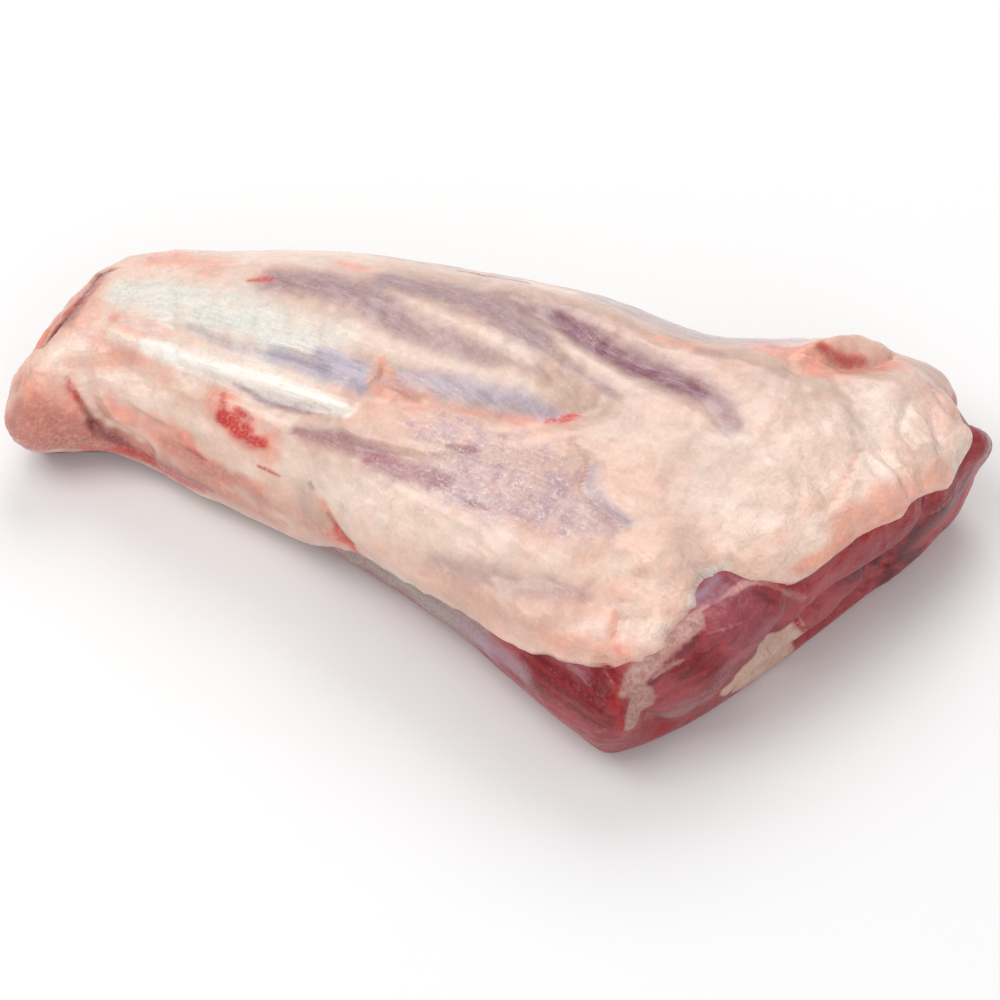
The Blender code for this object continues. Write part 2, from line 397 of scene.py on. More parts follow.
FACE_RELIEF: tuple[Stroke, ...] = (
    # seam between shin and calf
    Stroke(((1.16, 78), (1.4, 64), (1.75, 20), (1.55, 300), (1.25, 290)), 2.6, -2.4),
    # seam between calf and heel
    Stroke(((1.27, 126), (1.61, 150), (1.8, 168), (1.76, 250), (1.5, 272)), 2.4, -2.0),
)

FAT_RELIEF: tuple[Stroke, ...] = (
    # long tendon
    Stroke(((0.055, 68), (0.1, 60.5), (0.192, 55), (0.325, 54.8), (0.45, 56.5)), 2.0, 1.5, 0.5),
    Stroke(((0.14, 69), (0.24, 66), (0.38, 65.5)), 2.0, -0.9),  # groove over the tendon
    Stroke(((0.2, 49), (0.33, 47.5), (0.45, 50)), 1.8, -1.0),  # groove under the tendon
    Stroke(((0.18, 52), (0.3, 50.3), (0.43, 52.8)), 0.7, -0.8),  # crisp lower side of the tendon
    # crease behind the knob
    Stroke(((0.024, 44), (0.038, 36), (0.055, 25), (0.065, 18), (0.075, 10)), 1.4, -0.9, 0.3),
    Stroke(((0.08, 6), (0.098, -1), (0.135, -7), (0.17, -10)), 2.0, -1.0),  # hollow behind the knob
    Stroke(
        ((-0.045, 110), (-0.055, 101), (-0.05, 93), (-0.05, 80), (-0.06, 71), (-0.08, 60)), 1.3, -1.6, 0.4
    ),
    # cleft's bottom
    Stroke(((-0.15, 50), (-0.2, 64), (-0.22, 76), (-0.2, 90), (-0.13, 106)), 1.6, -0.8, 0.6),
    Stroke(((0.495, 16), (0.531, 10), (0.561, 6)), 1.6, -0.8),  # crease's bottom
    Stroke(((0.75, 80), (0.788, 76), (0.808, 69), (0.834, 67), (0.878, 66)), 1.2, -0.7),  # fold's bottom
    Stroke(((0.97, 134), (0.995, 130), (1.01, 126)), 0.9, -0.9),
    Stroke(((0.95, 140), (0.97, 138), (0.99, 141)), 0.8, -0.8),
    Stroke(((0.955, 127), (0.97, 121), (0.99, 120)), 0.8, -0.8),
    Stroke(((0.99, 112), (1.02, 111), (1.12, 112)), 0.9, -1.1),
    Stroke(((0.965, 108), (0.985, 99), (0.993, 93)), 0.8, -0.6),
    Stroke(((0.95, 46), (0.955, 42)), 1.1, -1.2),  # pit in the near fat
    Stroke(((0.842, 130), (0.85, 140), (0.85, 150)), 2.2, 1.1, 0.3),  # top lip
    # shadow round the top lip
    Stroke(((0.84, 127), (0.866, 130.5), (0.888, 138), (0.89, 148)), 0.9, -1.6, 0.3),
    Stroke(((0.02, 54), (0.06, 50), (0.1, 47), (0.15, 38)), 1.5, -0.7),
    Stroke(((0.06, 44), (0.1, 36), (0.16, 26)), 1.4, 0.6),
    Stroke(((0.12, 24), (0.19, 19), (0.26, 22)), 1.3, -0.7),
    Stroke(((0.14, 12), (0.2, 13), (0.3, 8)), 1.2, -0.7),
    Stroke(((0.17, 33), (0.23, 30), (0.28, 24)), 1.8, 0.6),
    Stroke(((-0.08, 42), (-0.05, 28), (-0.03, 14)), 0.8, -0.9),  # fold over the knob's end
    Stroke(((0.4, 40), (0.46, 43), (0.53, 46), (0.6, 52)), 1.8, -0.6, 0.5),
    Stroke(((0.37, 46), (0.46, 49), (0.56, 53), (0.62, 58)), 1.2, 0.5, 0.5),
    Stroke(((0.45, 66), (0.455, 72), (0.44, 78)), 0.8, 0.5),
    Stroke(((0.93, 62), (0.97, 57), (0.985, 48)), 2.2, 0.9),
    Stroke(((0.55, 26), (0.66, 28), (0.78, 34)), 2.4, 0.6),
)


# ------------------------------------------------------------------------------------------------- fat edge


@dataclass(frozen=True)
class FatEdge:
    """Where the fat cover ends: degrees around at places along, and places along at degrees around."""

    near_end: Stations = (
        (0, -14), (0.25, -30), (0.42, -26), (0.52, -8), (0.7, 4), (0.81, 11), (0.88, 16), (0.97, 30), (1, 34),
    )  # fmt: skip
    far_end: Stations = ((0, 200), (0.5, 195), (1, 190))
    cut_end: Stations = (
        (25, 0.965), (30, 0.972), (37, 0.981), (43, 0.991), (51, 0.996), (57, 0.997), (62, 0.993),
        (66, 0.986), (71, 0.984), (74.5, 0.995), (78, 1.09), (82, 1.14), (86, 1.15), (98, 1.18),
        (110, 1.22), (112, 1.2), (128, 1.22), (136, 1.2), (141, 1.08), (146, 0.995), (152, 0.975),
        (160, 0.962), (170, 0.955), (190, 0.95),
    )  # fmt: skip
    cut_range: Span = (30.0, 190.0)
    near_unrest: float = 1.6
    far_unrest: float = 2.4
    far_length: float = 140.0
    cut_unrest: float = 0.013
    cut_per_degree: float = 0.7
    waver: float = 1.1
    waver_size: float = 9.0
    fray: float = 0.9
    fray_size: float = 3.2
    off_lattice: Span = (3.3, 8.1)
    half_width: float = 47.0
    half_height: float = 22.0
    reaches: tuple[float, ...] = (0, 0.35, 0.7, 1.1, 1.5, 2.0, 2.5, 3.1, 3.8, 4.6, 5.6, 6.8, 8.2)
    least_per_degree: float = 0.15
    envelope: Triple = (-60.0, 260.0, 0.5)
    envelope_reach: float = 5.0
    envelope_half: int = 10

    @property
    def rim_share(self) -> float:
        """How much of the way from the ring to the middle of the cut face the round rim takes."""
        return FORM.rim_round / self.half_width

    def near(self, along: Array) -> Array:
        """Degrees around of the near edge."""
        station = np.clip(along, 0, 1)
        return curve(self.near_end, station) + self.near_unrest * self._ragged(station * FORM.span, 3)

    def far(self, along: Array) -> Array:
        """Degrees around of the far edge."""
        station = np.clip(along, 0, 1)
        return curve(self.far_end, station) + self.far_unrest * self._ragged(station * self.far_length, 5)

    def cut(self, around: Array) -> Array:
        """Place along of the edge on the cut end."""
        turned = np.clip(around, *self.cut_range)
        return curve(self.cut_end, turned) + self.cut_unrest * self._ragged(turned * self.cut_per_degree, 9)

    def beyond(self, around: Array) -> Array:
        """A smooth outline on or outside the fat's edge: the edge's highest place within reach, averaged.

        Args:
            around: degrees round it.

        Returns:
            Places along.
        """
        low, high, step = self.envelope
        turned = np.arange(low, high, step)
        moves = np.arange(-self.envelope_reach, self.envelope_reach + step, step)
        widest = np.max([self.cut(turned + move) for move in moves], axis=0)
        bell = np.hanning(2 * self.envelope_half + 3)
        smooth = np.convolve(np.pad(widest, self.envelope_half, "edge"), bell[1:-1] / bell.sum(), "valid")
        return np.interp(around, turned, smooth)

    def travel(self, along: Array, around: Array) -> Array:
        """Millimetres over the form from the start of its round rim, below 0 before it.

        Args:
            along: places along the shank.
            around: degrees round it.

        Returns:
            Millimetres for each place.
        """
        rim, radius = self._rim(around)
        on_rim = np.arccos(1 - np.clip((along - 1) / self.rim_share, 0, 1)) * rim
        on_face = np.maximum(along - 1 - self.rim_share, 0) * radius
        return FORM.span * np.minimum(along - 1, 0) + on_rim + on_face

    def arrive(self, travelled: Array, around: Array) -> Array:
        """The place along that `travel` measured.

        Args:
            travelled: millimetres from the start of the rim.
            around: degrees round it.

        Returns:
            Places along.
        """
        rim, radius = self._rim(around)
        on_rim = self.rim_share * (1 - np.cos(np.clip(travelled / rim, 0, QUARTER)))
        on_face = np.maximum(travelled - rim * QUARTER, 0) / radius
        return 1 + np.minimum(travelled, 0) / FORM.span + on_rim + on_face

    def _rim(self, around: Array) -> tuple[Array, Array]:
        """Millimetres per radian round the rim, and per unit along on the cut face.

        Args:
            around: degrees round it.

        Returns:
            Both numbers for each angle.
        """
        turn = np.radians(around)
        radius = np.hypot(self.half_width * np.cos(turn), self.half_height * np.sin(turn))
        return FORM.rim_round * (1 + radius / self.half_width) / 2, radius

    def _ragged(self, way: Array, seed: int) -> Array:
        """Slow waver and fine fray along a way in millimetres.

        Args:
            way: how far along the edge, in millimetres.
            seed: picks another pattern.

        Returns:
            A value from about -2 to 2 for each.
        """
        line = np.stack([way, *(np.full_like(way, place) for place in self.off_lattice)], -1)
        fray = self.fray * rough_noise(line, self.fray_size, 2, seed + 1)
        return self.waver * noise(line, self.waver_size, seed) + fray

    def depth(self, along: Array, around: Array) -> Array:
        """How far inside the fat's outline a place lies.

        The cut end's edge is read at some angles on either side and joined up by straight lines.

        Args:
            along: places along the shank.
            around: degrees round it.

        Returns:
            Millimetres to the nearest of the three edges, below 0 outside.
        """
        per_degree = np.linalg.norm(FORM.spread(along, around)[1], axis=-1)
        turned = wrapped(around)
        side = np.minimum(turned - self.near(along), self.far(along) - turned) * per_degree
        here = self.travel(along, turned)
        moves = sorted({*self.reaches, *(-reach for reach in self.reaches)})
        turns = [turned + move / np.maximum(per_degree, self.least_per_degree) for move in moves]
        aheads = [self.travel(self.cut(turn), turned) - here for turn in turns]
        nearest = np.full(along.shape, np.inf)
        for low, high, start, end in zip(moves, moves[1:], aheads, aheads[1:]):
            rise, run = end - start, high - low
            share = np.clip(-(start * rise + low * run) / (rise**2 + run**2), 0, 1)
            nearest = np.minimum(nearest, (start + share * rise) ** 2 + (low + share * run) ** 2)
        inside = np.where(self.cut(turned) > along, 1.0, -1.0)
        return np.minimum(side, inside * np.sqrt(nearest))


EDGE = FatEdge()


# --------------------------------------------------------------------------------------------------- meshes


def closed_mesh(name: str, points: Array, layers: dict[str, Array]) -> bpy.types.Object:
    """A closed skin over a grid of rings, the first and the last of which are each one point.

    Args:
        name: the piece's name.
        points: rows, columns, and x, y, z in millimetres.
        layers: values for each grid point, one number or three, kept as attributes of the mesh.

    Returns:
        The new object, linked to the scene.
    """
    rows, count = points.shape[0] - 2, points.shape[1]
    ring = 1 + np.arange(rows * count).reshape(rows, count)
    after = np.roll(ring, -1, 1)
    quads = np.stack([ring[:-1], ring[1:], after[1:], after[:-1]], -1).reshape(-1, 4)
    start = np.stack([np.zeros(count, int), ring[0], after[0]], -1)
    end = np.stack([np.full(count, 1 + rows * count), after[-1], ring[-1]], -1)

    def flat(grid: Array) -> Array:
        """The grid's values in the order of the mesh's points."""
        return np.concatenate([grid[:1, 0], grid[1:-1].reshape(-1, *grid.shape[2:]), grid[-1:, 0]])

    corners = np.concatenate([start.ravel(), quads.ravel(), end.ravel()]).astype(np.int32)
    sizes = np.concatenate([np.full(count, 3), np.full(len(quads), 4), np.full(count, 3)]).astype(np.int32)
    mesh = bpy.data.meshes.new(name)
    vertices = flat(points) * MM
    mesh.vertices.add(len(vertices))
    mesh.vertices.foreach_set("co", vertices.astype(np.float32).ravel())
    mesh.loops.add(len(corners))
    mesh.loops.foreach_set("vertex_index", corners)
    mesh.polygons.add(len(sizes))
    mesh.polygons.foreach_set("loop_start", np.concatenate([[0], np.cumsum(sizes)[:-1]]).astype(np.int32))
    mesh.update(calc_edges=True)
    mesh.shade_smooth()
    for title, grid in layers.items():
        kind, field = ("FLOAT_VECTOR", "vector") if grid.ndim == 3 else ("FLOAT", "value")
        made = mesh.attributes.new(title, kind, "POINT")
        made.data.foreach_set(field, flat(grid).astype(np.float32).ravel())
    made_object = bpy.data.objects.new(name, mesh)
    bpy.context.scene.collection.objects.link(made_object)
    return made_object


class Tissue(Enum):
    """What a patch of the surface is."""

    CREAM = "cream"
    FELL = "fell"
    BLUSH = "blush"
    SILVER = "silver"
    VEIL = "veil"
    MUSCLE = "muscle"
    PLUM = "plum"
    WEB = "web"
    WINDOW = "window"
    TENDON = "tendon"
    SINEW = "sinew"
    DARK = "dark"
    SEAM = "seam"
    # painted shade: dark red laid in creases, folds, hollows, the cleft and seams
    CREASE_SHADE = "crease"
    BLOOD = "blood"


# ------------------------------------------------------------------------------------------------ materials


class Grain(Enum):
    """A finish's patterns: size in millimetres, stretch, detail, and whether it follows the fibres."""

    FIBRE = (0.42, 14.0, 3.0, True)
    STREAK = (1.8, 5.0, 4.0, True)
    CLOT = (1.0, 1.0, 3.0, False)
    WISP = (2.4, 3.6, 3.0, True)
    BLOTCH = (4.4, 1.0, 4.0, False)
    CLOUD = (20.0, 1.0, 3.0, False)


Patterns = dict[Grain, Socket]


def srgb(red: int, green: int, blue: int) -> Colour:
    """A screen colour from 0 to 255 as the linear colour that a shader takes.

    Args:
        red: from 0 to 255.
        green: from 0 to 255.
        blue: from 0 to 255.

    Returns:
        Red, green and blue from 0 to 1.
    """
    share = np.array([red, green, blue]) / 255
    linear = np.where(share <= 0.04045, share / 12.92, ((share + 0.055) / 1.055) ** 2.4)
    return tuple(float(v) for v in linear)


class Graph:
    """A Principled material whose nodes are added one call at a time."""

    def __init__(self, name: str) -> None:
        """Makes the material.

        Args:
            name: the finish's name.
        """
        self.material = bpy.data.materials.new(name)
        self.material.use_nodes = True
        self.tree = self.material.node_tree
        self.shader = self.tree.nodes["Principled BSDF"]

    def node(self, kind: str, inputs: dict[str | int, object], **settings: object) -> bpy.types.Node:
        """Adds a node, with its settings, and feeds its inputs from sockets or plain values.

        Args:
            kind: the node's type.
            inputs: what goes into each input.
            settings: the node's own properties.

        Returns:
            The node.
        """
        made = self.tree.nodes.new(kind)
        for key, value in settings.items():
            setattr(made, key, value)
        for key, value in inputs.items():
            self.feed(value, made.inputs[key])
        return made

    def feed(self, value: object, socket: Socket) -> None:
        """Links a socket, or sets a plain number or colour.

        Args:
            value: another node's socket, a number or a colour.
            socket: the input.
        """
        if isinstance(value, Socket):
            self.tree.links.new(value, socket)
        elif isinstance(value, tuple) and socket.type == "RGBA":
            socket.default_value = (*value, 1)
        else:
            socket.default_value = value

    def value(self, title: str) -> Socket:
        """The number that the mesh keeps under this title."""
        return self.node("ShaderNodeAttribute", {}, attribute_name=title).outputs["Fac"]

    def math(self, operation: str, first: object, second: object = 0.0, clamp: bool = False) -> Socket:
        """A step on two numbers."""
        inputs = {0: first, 1: second}
        return self.node("ShaderNodeMath", inputs, operation=operation, use_clamp=clamp).outputs[0]

    def plus(self, first: object, second: object) -> Socket:
        """The sum of two numbers."""
        return self.math("ADD", first, second)

    def minus(self, first: object, second: object) -> Socket:
        """The first number less the second."""
        return self.math("SUBTRACT", first, second)

    def times(self, first: object, second: object, clamp: bool = False) -> Socket:
        """The product of two numbers, kept from 0 to 1 if clamp is set."""
        return self.math("MULTIPLY", first, second, clamp)

    def swing(self, pattern: Socket, amount: object) -> Socket:
        """A pattern from 0 to 1 as a change of up to half the amount either way."""
        return self.times(self.minus(pattern, 0.5), amount)

    def line(self, pattern: Socket, level: float, low: float, high: float) -> Socket:
        """1 where the pattern passes its level, and 0 away from there."""
        gap = self.math("ABSOLUTE", self.minus(pattern, level))
        return self.minus(1.0, self.step(gap, low, high))

    def step(self, value: object, low: float, high: float, top: float = 1.0) -> Socket:
        """0 at low, top at high, and an S-curve between."""
        inputs = {"Value": value, "From Min": low, "From Max": high, "To Max": top}
        return self.node("ShaderNodeMapRange", inputs, interpolation_type="SMOOTHSTEP").outputs[0]

    def mix(self, factor: object, under: object, over: object, blend: str = "MIX") -> Socket:
        """One colour over another."""
        inputs = {0: factor, 6: under, 7: over}
        return self.node("ShaderNodeMix", inputs, data_type="RGBA", blend_type=blend).outputs[2]

    def mix_number(self, factor: object, under: object, over: object) -> Socket:
        """One number over another."""
        return self.node("ShaderNodeMix", {0: factor, 2: under, 3: over}, data_type="FLOAT").outputs[0]

    def grain(
        self, size: float, detail: float, stretch: float = 1.0, flow: bool = False, **more: float
    ) -> Socket:
        """Noise with grains of a size in millimetres.

        Args:
            size: about how large a grain is, in millimetres.
            detail: how many finer layers it has.
            stretch: how much longer a grain is along x, or along the fibres.
            flow: whether it follows the fibres' own coordinates instead of the object's.
            more: other inputs of the noise, such as its Distortion.

        Returns:
            A number from 0 to 1.
        """
        if flow:
            where = self.node("ShaderNodeAttribute", {}, attribute_name="flow").outputs["Vector"]
        else:
            where = self.node("ShaderNodeTexCoord", {}).outputs["Object"]
        per = 1 / size if flow else 1 / (size * MM)
        scale = (per / stretch, per, per)
        mapped = self.node("ShaderNodeMapping", {"Vector": where, "Scale": scale}).outputs[0]
        inputs = {"Vector": mapped, "Scale": 1.0, "Detail": detail, "Roughness": 0.55, "Distortion": 0.0}
        return self.node("ShaderNodeTexNoise", inputs | more).outputs["Fac"]

    def bump(
        self, height: Socket, depth: float, strength: object = 1.0, under: Socket | None = None
    ) -> Socket:
        """Turns a height from 0 to 1 into a normal, for a depth in millimetres, on top of another normal.

        Args:
            height: the pattern.
            depth: how deep it is, in millimetres.
            strength: how much of it shows.
            under: the normal that it changes.

        Returns:
            The new normal.
        """
        made = self.node("ShaderNodeBump", {"Strength": strength, "Distance": depth * MM, "Height": height})
        if under is not None:
            self.feed(under, made.inputs["Normal"])
        return made.outputs[0]


@dataclass(frozen=True)
class Layer:
    """One tissue's look: two screen colours that a grain mixes, its edge and its gloss."""

    tissue: Tissue
    colour: Screen
    other: Screen
    grain: Grain = Grain.STREAK
    ragged: float = 0.4
    sharp: float = 0.0
    opacity: float = 1.0
    roughness: float = 0.4
    soft: bool = False
    wander: float = 1.0
    edge: float = 0.4

    def cover(self, g: Graph, grain: Socket) -> Socket:
        """How much of the tissue shows: its mark, made uneven by the grain, shaded in softly or with an edge.

        Args:
            g: the finish's graph.
            grain: the layer's grain.

        Returns:
            A number from 0 to 1.
        """
        wobble = g.swing(grain, self.ragged)
        mask = g.value(self.tissue.value)
        if self.soft:
            return g.times(g.plus(mask, g.times(wobble, mask)), self.opacity, clamp=True)
        low = self.ragged / 2 + self.sharp * (self.edge - self.ragged / 2)
        return g.step(g.plus(mask, wobble), low, 1 - self.edge * self.sharp, self.opacity)


Soft = partial(Layer, soft=True)


@dataclass(frozen=True)
class Finish:
    """A whole finish: a base tissue, the layers over it, and its softness and gloss.

    Colours are screen colours. A pair says where a pattern starts to show and where it shows in full.
    """

    name: str
    base: Screen
    base_other: Screen
    flush: Screen
    # pale: the colour of the membrane hairs, and of the painted glints and glinting strands
    pale: Screen
    layers: tuple[Layer, ...]
    roughness: float = 0.45
    subsurface: float = 0.25
    scatter: float = 2.0
    radius: Colour = (1.0, 0.42, 0.28)
    coat: float = 0.3
    coat_roughness: float = 0.12
    specular: float = 0.5
    hair: float = 0.26
    freckles: float = 0.35
    wrinkles: float = 0.5
    # strength of the painted glints and of the glinting strands
    glints: float = 0.6
    even: Span = (0.32, 0.68)
    freckled: Span = (0.5, 0.72)
    haired: Span = (0.52, 0.66)
    glinted: Span = (0.56, 0.66)
    patched: Span = (0.46, 0.7)
    glinting_strand: Triple = (0.49, 0.003, 0.022)
    wrinkle: Triple = (0.47, 0.0, 0.016)
    streak_shade: float = 0.14
    mottle_shade: float = 0.07
    patch_shade: float = 0.08
    mean_shade: float = 0.98
    gloss_change: float = 0.16
    swell_size: float = 7.0
    swell_depth: float = 2.4

    def build(self) -> bpy.types.Material:
        """Lays the tissues over each other and adds fibres, painted glints, mottling and fine relief.

        Returns:
            The material.
        """
        g = Graph(self.name)
        raw = {}
        for kind in Grain:
            size, stretch, detail, flow = kind.value
            raw[kind] = g.grain(size, detail, stretch, flow, Roughness=0.6, Distortion=0.3)
        even = {kind: g.step(raw[kind], *self.even) for kind in Grain}
        colour, rough = self._tissues(g, raw, even)
        colour = self._threads(g, raw, even, colour)
        colour = g.mix(1.0, colour, self._shade(g, even), "MULTIPLY")
        shader = g.shader.inputs
        g.feed(colour, shader["Base Color"])
        g.feed(g.plus(rough, g.swing(even[Grain.CLOT], self.gloss_change)), shader["Roughness"])
        g.feed(self._relief(g, raw), shader["Normal"])
        shader["Subsurface Weight"].default_value = self.subsurface
        shader["Subsurface Radius"].default_value = self.radius
        shader["Subsurface Scale"].default_value = self.scatter * MM
        shader["Specular IOR Level"].default_value = self.specular
        shader["Coat Weight"].default_value = self.coat
        shader["Coat Roughness"].default_value = self.coat_roughness
        return g.material

    def _tissues(self, g: Graph, raw: Patterns, even: Patterns) -> tuple[Socket, object]:
        """The colour and roughness of the base with each layer over it.

        Args:
            g: the finish's graph.
            raw: the patterns as they come.
            even: the patterns spread from 0 to 1.

        Returns:
            The colour and the roughness.
        """
        colour = g.mix(even[Grain.CLOUD], srgb(*self.base), srgb(*self.base_other))
        freckles = g.times(g.step(raw[Grain.BLOTCH], *self.freckled), self.freckles)
        colour = g.mix(freckles, colour, srgb(*self.flush))
        rough: object = self.roughness
        for layer in self.layers:
            cover = layer.cover(g, even[layer.grain])
            colour = g.mix(cover, colour, g.mix(even[layer.grain], srgb(*layer.colour), srgb(*layer.other)))
            rough = g.mix_number(cover, rough, layer.roughness)
        return colour, rough

    def _threads(self, g: Graph, raw: Patterns, even: Patterns, colour: Socket) -> Socket:
        """The colour with pale hairs, painted glints and membrane strands that are partly painted highlights
        over it, and flushed wrinkles.

        Args:
            g: the finish's graph.
            raw: the patterns as they come.
            even: the patterns spread from 0 to 1.
            colour: the colour so far.

        Returns:
            The new colour.
        """
        hairs = g.times(g.step(raw[Grain.FIBRE], *self.haired), g.times(g.value("hair"), self.hair))
        # painted glints: small pale spots that stand in for wet highlights
        glints = g.times(g.step(raw[Grain.CLOT], *self.glinted), g.times(g.value("glint"), self.glints))
        # strands of membrane: pale lines that also stand in for wet highlights
        glinting_strands = g.times(g.line(raw[Grain.WISP], *self.glinting_strand), g.step(raw[Grain.BLOTCH], *self.patched))
        glinting_strands = g.times(g.times(glinting_strands, g.value("glint")), self.glints)
        wrinkles = g.times(g.line(raw[Grain.BLOTCH], *self.wrinkle), self.wrinkles)
        wrinkles = g.times(wrinkles, even[Grain.CLOUD])
        for cover in (hairs, glints, glinting_strands):
            colour = g.mix(cover, colour, srgb(*self.pale))
        return g.mix(wrinkles, colour, srgb(*self.flush))

    def _shade(self, g: Graph, even: Patterns) -> Socket:
        """A grey that multiplies the colour: streaks where there are fibres, mottling and patches.

        Args:
            g: the finish's graph.
            even: the patterns spread from 0 to 1.

        Returns:
            The grey.
        """
        streaks = g.swing(even[Grain.STREAK], g.times(g.value("hair"), self.streak_shade))
        mottle = g.swing(even[Grain.CLOT], self.mottle_shade)
        patches = g.swing(even[Grain.BLOTCH], self.patch_shade)
        shade = g.plus(g.plus(streaks, mottle), g.plus(patches, self.mean_shade))
        return g.node("ShaderNodeCombineColor", dict.fromkeys(range(3), shade)).outputs[0]

    def _relief(self, g: Graph, raw: Patterns) -> Socket:
        """The normal: slow swells, then each pattern's depth in millimetres where the mesh says so.

        Args:
            g: the finish's graph.
            raw: the patterns as they come.

        Returns:
            The normal.
        """
        normal = g.bump(g.grain(self.swell_size, 1.0), self.swell_depth)
        for kind, depth, strength in (
            (Grain.BLOTCH, 1.4, g.value("crumple")),
            (Grain.STREAK, 0.5, g.times(g.value("hair"), 0.9)),
            (Grain.FIBRE, 0.18, g.times(g.value("hair"), 0.8)),
            (Grain.CLOT, 0.6, g.plus(g.times(g.value("wet"), 0.75), 0.25)),
        ):
            normal = g.bump(raw[kind], depth, strength, normal)
        return normal


FAT_FINISH = Finish(
    name="fat and fell",
    base=(238, 208, 191),
    base_other=(223, 181, 162),
    flush=(230, 170, 150),
    pale=(250, 238, 230),
    layers=(
        Soft(Tissue.FELL, (206, 175, 160), (198, 164, 148), Grain.BLOTCH, 0.2, roughness=0.36),
        Soft(Tissue.CREAM, (243, 221, 206), (238, 211, 195), Grain.CLOUD, 0.3),
        Soft(Tissue.BLUSH, (226, 130, 112), (238, 166, 142), Grain.BLOTCH, 0.7, roughness=0.36),
        Soft(Tissue.SILVER, (240, 236, 226), (218, 214, 204), Grain.BLOTCH, 0.5, roughness=0.3, wander=0.5),
        Soft(Tissue.MUSCLE, (160, 128, 132), (176, 144, 144), Grain.STREAK, 0.4, roughness=0.34, wander=0.6),
        Soft(Tissue.VEIL, (168, 158, 178), (188, 174, 184), Grain.STREAK, 0.4, roughness=0.32, wander=0.4),
        Soft(Tissue.PLUM, (122, 62, 84), (140, 86, 102), Grain.STREAK, 0.4, roughness=0.34, wander=0.6),
        Soft(Tissue.WEB, (220, 188, 182), (190, 154, 160), Grain.BLOTCH, 0.9, roughness=0.28),
        Soft(Tissue.SINEW, (184, 100, 88), (206, 138, 120), Grain.CLOT, 0.5, roughness=0.3),
        Soft(Tissue.WINDOW, (140, 76, 92), (172, 118, 126), Grain.STREAK, 0.5, roughness=0.28, wander=0.7),
        Soft(Tissue.TENDON, (255, 250, 242), (248, 234, 222), Grain.STREAK, 0.2, roughness=0.2, wander=0.2),
        # painted shade in the creases, folds and hollows of the fat
        Soft(Tissue.CREASE_SHADE, (112, 34, 38), (140, 54, 50), Grain.BLOTCH, 0.5, roughness=0.3, wander=0.4),
        Soft(Tissue.BLOOD, (200, 28, 30), (208, 58, 50), Grain.CLOT, 1.0, roughness=0.24),
    ),
    roughness=0.4,
    coat=0.4,
    freckles=0.45,
)

LEAN_FINISH = Finish(
    name="lean meat",
    base=(172, 68, 74),
    base_other=(148, 50, 58),
    flush=(122, 22, 30),
    pale=(206, 156, 158),
    layers=(
        Layer(Tissue.DARK, (78, 28, 38), (96, 38, 46), Grain.BLOTCH, 0.3),
        Layer(Tissue.BLUSH, (140, 20, 28), (114, 12, 20), Grain.STREAK, 0.3, roughness=0.26),
        Layer(Tissue.MUSCLE, (156, 72, 84), (138, 54, 64), Grain.STREAK, 0.2, roughness=0.34),
        Soft(Tissue.SILVER, (176, 162, 154), (150, 126, 122), Grain.FIBRE, 0.6, roughness=0.3),
        Soft(Tissue.VEIL, (182, 152, 168), (158, 116, 134), Grain.STREAK, 0.5, roughness=0.34),
        Layer(Tissue.SINEW, (194, 152, 140), (164, 114, 106), Grain.CLOT, 0.25, 0.5, wander=0.6),
        Layer(Tissue.CREAM, (214, 182, 162), (198, 156, 140), Grain.BLOTCH, 0.2, 0.6, wander=0.6),
        Layer(Tissue.SEAM, (206, 156, 150), (176, 108, 108), Grain.CLOT, 0.4, 0.2, 0.9, 0.3, wander=0.3),
        # painted shade in the seams of the cut face
        Soft(Tissue.CREASE_SHADE, (66, 18, 24), (88, 26, 32), Grain.CLOT, 0.3, opacity=0.9, wander=0.5),
        Soft(Tissue.BLOOD, (178, 22, 22), (150, 18, 26), Grain.CLOT, 0.8, roughness=0.26, wander=0.6),
    ),
    roughness=0.42,
    subsurface=0.1,
    scatter=1.2,
    coat=0.15,
    specular=0.35,
    hair=0.2,
    freckles=0.75,
    wrinkles=0.5,
    glints=0.14,
)


# ----------------------------------------------------------------------------------------------- the pieces


MarkTable = dict[Tissue, tuple[Stroke, ...]]


@dataclass(frozen=True)
class Flow:
    """Coordinates that follow the fibres, in millimetres: along, and round with a slant over the bellies."""

    per_degree: float = 0.62
    slant: float = 0.24
    slanted: Span = (60.0, 85.0)

    def at(self, along: Array, around: Array) -> Array:
        """The coordinates of these places.

        Args:
            along: places along the shank.
            around: degrees round it.

        Returns:
            Three numbers for each place.
        """
        way = along * FORM.span
        turned = wrapped(around)
        girth = turned * self.per_degree + self.slant * way * smooth_step(*self.slanted, turned)
        return np.stack([way, girth, np.zeros_like(way)], -1)

    def fibres(self, along: Array, around: Array, rough: Rough, stretch: float) -> Array:
        """Unevenness stretched along the fibres, one value a place."""
        return rough.at(self.at(along, around).reshape(-1, 3) / np.array([stretch, 1, 1]))


FLOW = Flow()


